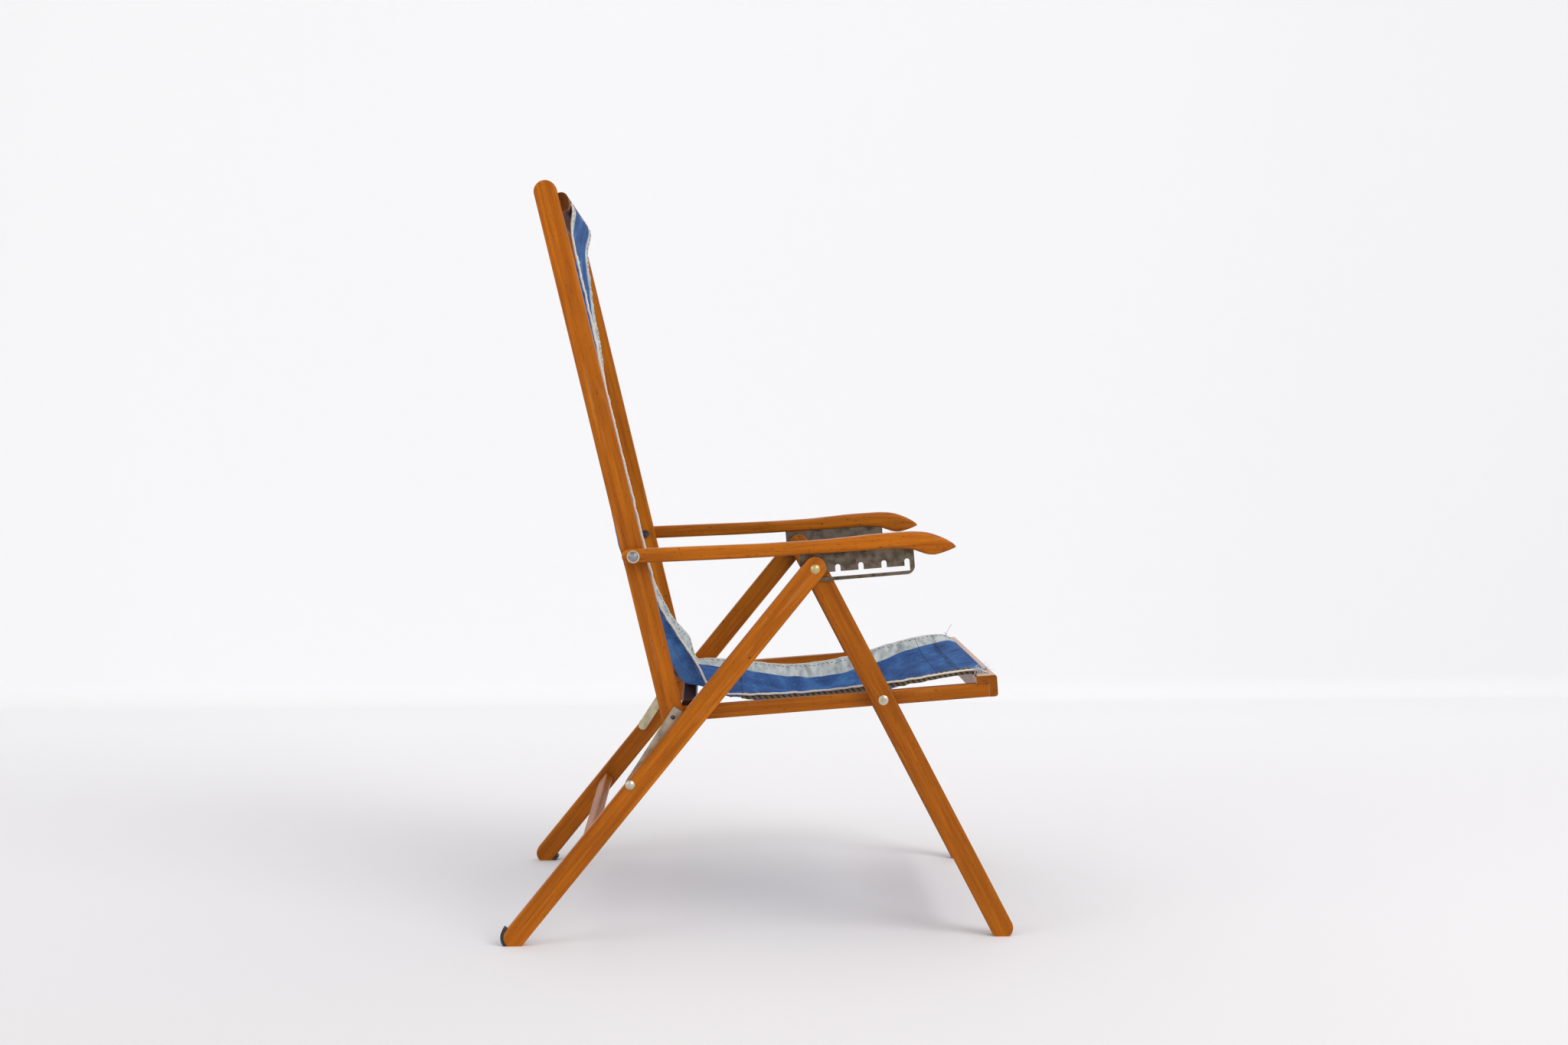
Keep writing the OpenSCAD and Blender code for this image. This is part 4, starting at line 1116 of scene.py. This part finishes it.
# Each metal finish: its name, its bare colour, its stain's colour, its roughness, how much
# of it is stained, and its parts.
METALS = (
    ("tarnished_brass", "#C9B27C", "#6B5A3A", 0.34, 0.5, ("axle_bolts",)),
    (
        "worn_nickel_plate", "#CFC8B4", "#7E745F", 0.3, 0.5,
        ("link_bolts", "seat_bolts", *both("arm_washer")),
    ),
    ("dull_tinned_steel", "#A3A1A6", "#3C3834", 0.36, 0.6, both("arm_stud")),
    ("worn_grey_steel", "#74685A", "#3C3127", 0.4, 0.8, both("rack_plate")),
    ("rubbed_link_steel", "#B4A793", "#6E604F", 0.36, 0.6, ("right_link",)),
    ("yellow_zinc_plate", "#CFC6A6", "#82765A", 0.38, 0.5, ("left_link", "left_link_rivet")),
    (
        "dark_blued_steel", "#55565A", "#2A2320", 0.42, 0.7,
        ("axle_nuts", "back_pivot_bolts", "right_link_rivet", *both("rack_pins", "arm_bolt")),
    ),
)


class SLING_OT_metal(bpy.types.Operator):
    """Age the bolts, links, rack plates, pins and nuts"""

    bl_idname = "sling.metal"
    bl_label = "Finish the metal"

    def execute(self, context):
        for *finish, nodes in METALS:
            dress(nodes, metal(*finish))
        return {"FINISHED"}


class SLING_OT_rubber(bpy.types.Operator):
    """Blacken the rubber strips on the rear feet"""

    bl_idname = "sling.rubber"
    bl_label = "Finish the rubber"

    def execute(self, context):
        rubber = plain("black_rubber", "#26262A", 0.55, 3.85, 0.35)
        dress(both("foot_strip"), rubber)
        return {"FINISHED"}


# The stage

# The camera's place in metres, its turn, tilt and roll in degrees and its lens and film
# width in millimetres.
CAMERA_PLACE = (-0.0650, -3.1152, 0.7541)
CAMERA_TURNS = (2.069, 3.193, -0.189)
CAMERA_LENS = 46.62
CAMERA_FILM = 36.0
FLOOR_REACH = 9.0
WALL_BEND = 0.06

# The two lights' names, places, sizes and shares of the key light's power.
LIGHTS = (
    ("key_light", (2.1, -2.2, 2.9), 2.3, 1.0),
    ("side_light", (-2.6, -1.6, 1.9), 1.8, 0.22),
)
LIT_POINT = (0.0, 0.0, 0.4)


def placed(right, up, ahead, place):
    """The matrix of something that looks ahead along its own -Z, with X right and Y up."""
    matrix = np.eye(4)
    matrix[:3] = np.stack([right, up, -np.asarray(ahead), place], 1)
    return Matrix(matrix.tolist())


def camera_matrix():
    """The camera's place and axes: turned from +Y towards +X, then down, then rolled."""
    yaw, pitch, roll = np.radians(CAMERA_TURNS)
    ahead = np.array([np.sin(yaw) * np.cos(pitch), np.cos(yaw) * np.cos(pitch), -np.sin(pitch)])
    right = np.array([np.cos(yaw), -np.sin(yaw), 0.0])
    up = np.cross(right, ahead)
    rolled_right = np.cos(roll) * right + np.sin(roll) * up
    rolled_up = -np.sin(roll) * right + np.cos(roll) * up
    return placed(rolled_right, rolled_up, ahead, CAMERA_PLACE)


def studio_paint():
    """Matt white paint with painted light falloff: the floor is darker at the front and pales
    towards the wall, and the wall pales towards the left, painted as the light falls there.
    Seen from behind it isn't there, so that it hides nothing."""
    made, tree = new_material("matt_white_studio_paint")
    place = add(tree, "TexCoord", out="Object")
    parts = add(tree, "SeparateXYZ", {0: place}).node.outputs
    back = add(tree, "MapRange", {0: parts["Y"], 1: -1.3, 2: 1.7})
    side = add(tree, "MapRange", {0: parts["X"], 1: -1.5, 2: 1.5})
    rise = add(tree, "MapRange", {0: parts["Z"], 1: 0.004, 2: 0.05})
    # Painted light falloff: both gradients stand for how the light falls, not for the paint's colour.
    ground = layered(tree, linear("#DDDADB"), [("#F5F4F5", back)])
    wall = layered(tree, linear("#FAFAFB"), [("#F0F0F2", side)])
    paint = layered(tree, ground, [(wall, rise)])
    behind = add(tree, "NewGeometry", out="Backfacing")
    alpha = add(tree, "Math", {0: 1.0, 1: behind}, operation="SUBTRACT")
    finish_surface(tree, {"Base Color": paint, "Roughness": 0.9, "Alpha": alpha})
    return made


class SLING_OT_stage(bpy.types.Operator):
    """Set the pale floor and wall, the soft lights and the camera"""

    bl_idname = "sling.stage"
    bl_label = "Set the stage"

    def execute(self, context):
        settings = context.scene.sling_stage
        self.floor(settings.wall_place)
        self.world(context.scene, settings.fill)
        self.lights(context.scene, settings.key_power)
        self.camera(context.scene)
        return {"FINISHED"}

    def floor(self, wall_place):
        """A flat floor that turns up into a wall through a small quarter round."""
        turn = np.linspace(0, np.pi / 2, 13)
        bend_run = wall_place - WALL_BEND + WALL_BEND * np.sin(turn)
        run = np.concatenate([[-FLOOR_REACH], bend_run, [wall_place]])
        rise = np.concatenate([[0.0], WALL_BEND * (1 - np.cos(turn)), [FLOOR_REACH]])
        count = len(run)
        points = np.concatenate(
            [np.stack([np.full(count, x), run, rise], 1) for x in (-FLOOR_REACH, FLOOR_REACH)]
        )
        i = np.arange(count - 1)
        faces = [np.stack([i, i + count, i + count + 1, i + 1], 1)]
        make_piece("studio_floor_and_wall", points, faces, [studio_paint()])

    def world(self, scene, fill):
        """An even fill, seen as near white by the camera and in mirrors."""
        world = bpy.data.worlds.new("studio")
        scene.world = world
        world.use_nodes = True
        tree = world.node_tree
        tree.nodes.clear()
        rays = add(tree, "LightPath").node.outputs
        rest = {0: rays["Is Glossy Ray"], 1: rays["Is Transmission Ray"]}
        seen = {0: rays["Is Camera Ray"], 1: add(tree, "Math", rest, operation="MAXIMUM")}
        share = add(tree, "Math", seen, operation="MAXIMUM")
        light = add(tree, "Background", {"Color": linear("#FFFFFF"), "Strength": fill})
        white = add(tree, "Background", {"Color": linear("#F6F6F9"), "Strength": 1.0})
        mixed = add(tree, "MixShader", {0: share, 1: light, 2: white})
        add(tree, "OutputWorld", {"Surface": mixed})

    def lights(self, scene, key_power):
        """A broad key light from the right front above and a weak one from the left."""
        for name, place, size, share in LIGHTS:
            light = bpy.data.lights.new(name, "AREA")
            light.shape = "DISK"
            light.size = size
            light.energy = share * key_power
            holder = bpy.data.objects.new(name, light)
            ahead = unit(np.array(LIT_POINT) - np.array(place))
            right = unit(np.cross(ahead, (0.0, 0.0, 1.0)))
            holder.matrix_world = placed(right, np.cross(right, ahead), ahead, place)
            scene.collection.objects.link(holder)

    def camera(self, scene):
        """The camera where the photograph was taken from."""
        camera = bpy.data.cameras.new("photo_camera")
        camera.lens = CAMERA_LENS
        camera.sensor_width = CAMERA_FILM
        camera.clip_start = 0.05
        holder = bpy.data.objects.new("photo_camera", camera)
        holder.matrix_world = camera_matrix()
        scene.collection.objects.link(holder)
        scene.camera = holder
        scene.view_settings.view_transform = "Standard"


# Panel and start

STEPS = ("timber", "arms", "canvas", "hems", "frays", "metal", "rubber", "stage")


class SLING_PT_panel(bpy.types.Panel):
    """The chair's pieces in the order they are made"""

    bl_idname = "SLING_PT_panel"
    bl_label = "Sling Chair"
    bl_space_type = "VIEW_3D"
    bl_region_type = "UI"
    bl_category = "Sling Chair"

    def draw(self, context):
        for title in STEPS:
            self.layout.operator("sling." + title)


GROUPS = {"canvas": CanvasSettings, "timber": TimberSettings, "stage": StageSettings}
OPERATORS = (
    SLING_OT_timber, SLING_OT_arms, SLING_OT_canvas, SLING_OT_hems, SLING_OT_frays,
    SLING_OT_metal, SLING_OT_rubber, SLING_OT_stage,
)
CLASSES = (*GROUPS.values(), *OPERATORS, SLING_PT_panel)


def register():
    for each in CLASSES:
        bpy.utils.register_class(each)
    for name, group in GROUPS.items():
        setattr(bpy.types.Scene, "sling_" + name, bpy.props.PointerProperty(type=group))


def unregister():
    for name in GROUPS:
        delattr(bpy.types.Scene, "sling_" + name)
    for each in reversed(CLASSES):
        bpy.utils.unregister_class(each)


def main():
    """Makes every piece in order."""
    register()
    for title in STEPS:
        getattr(bpy.ops.sling, title)()


if __name__ == "__main__":
    main()
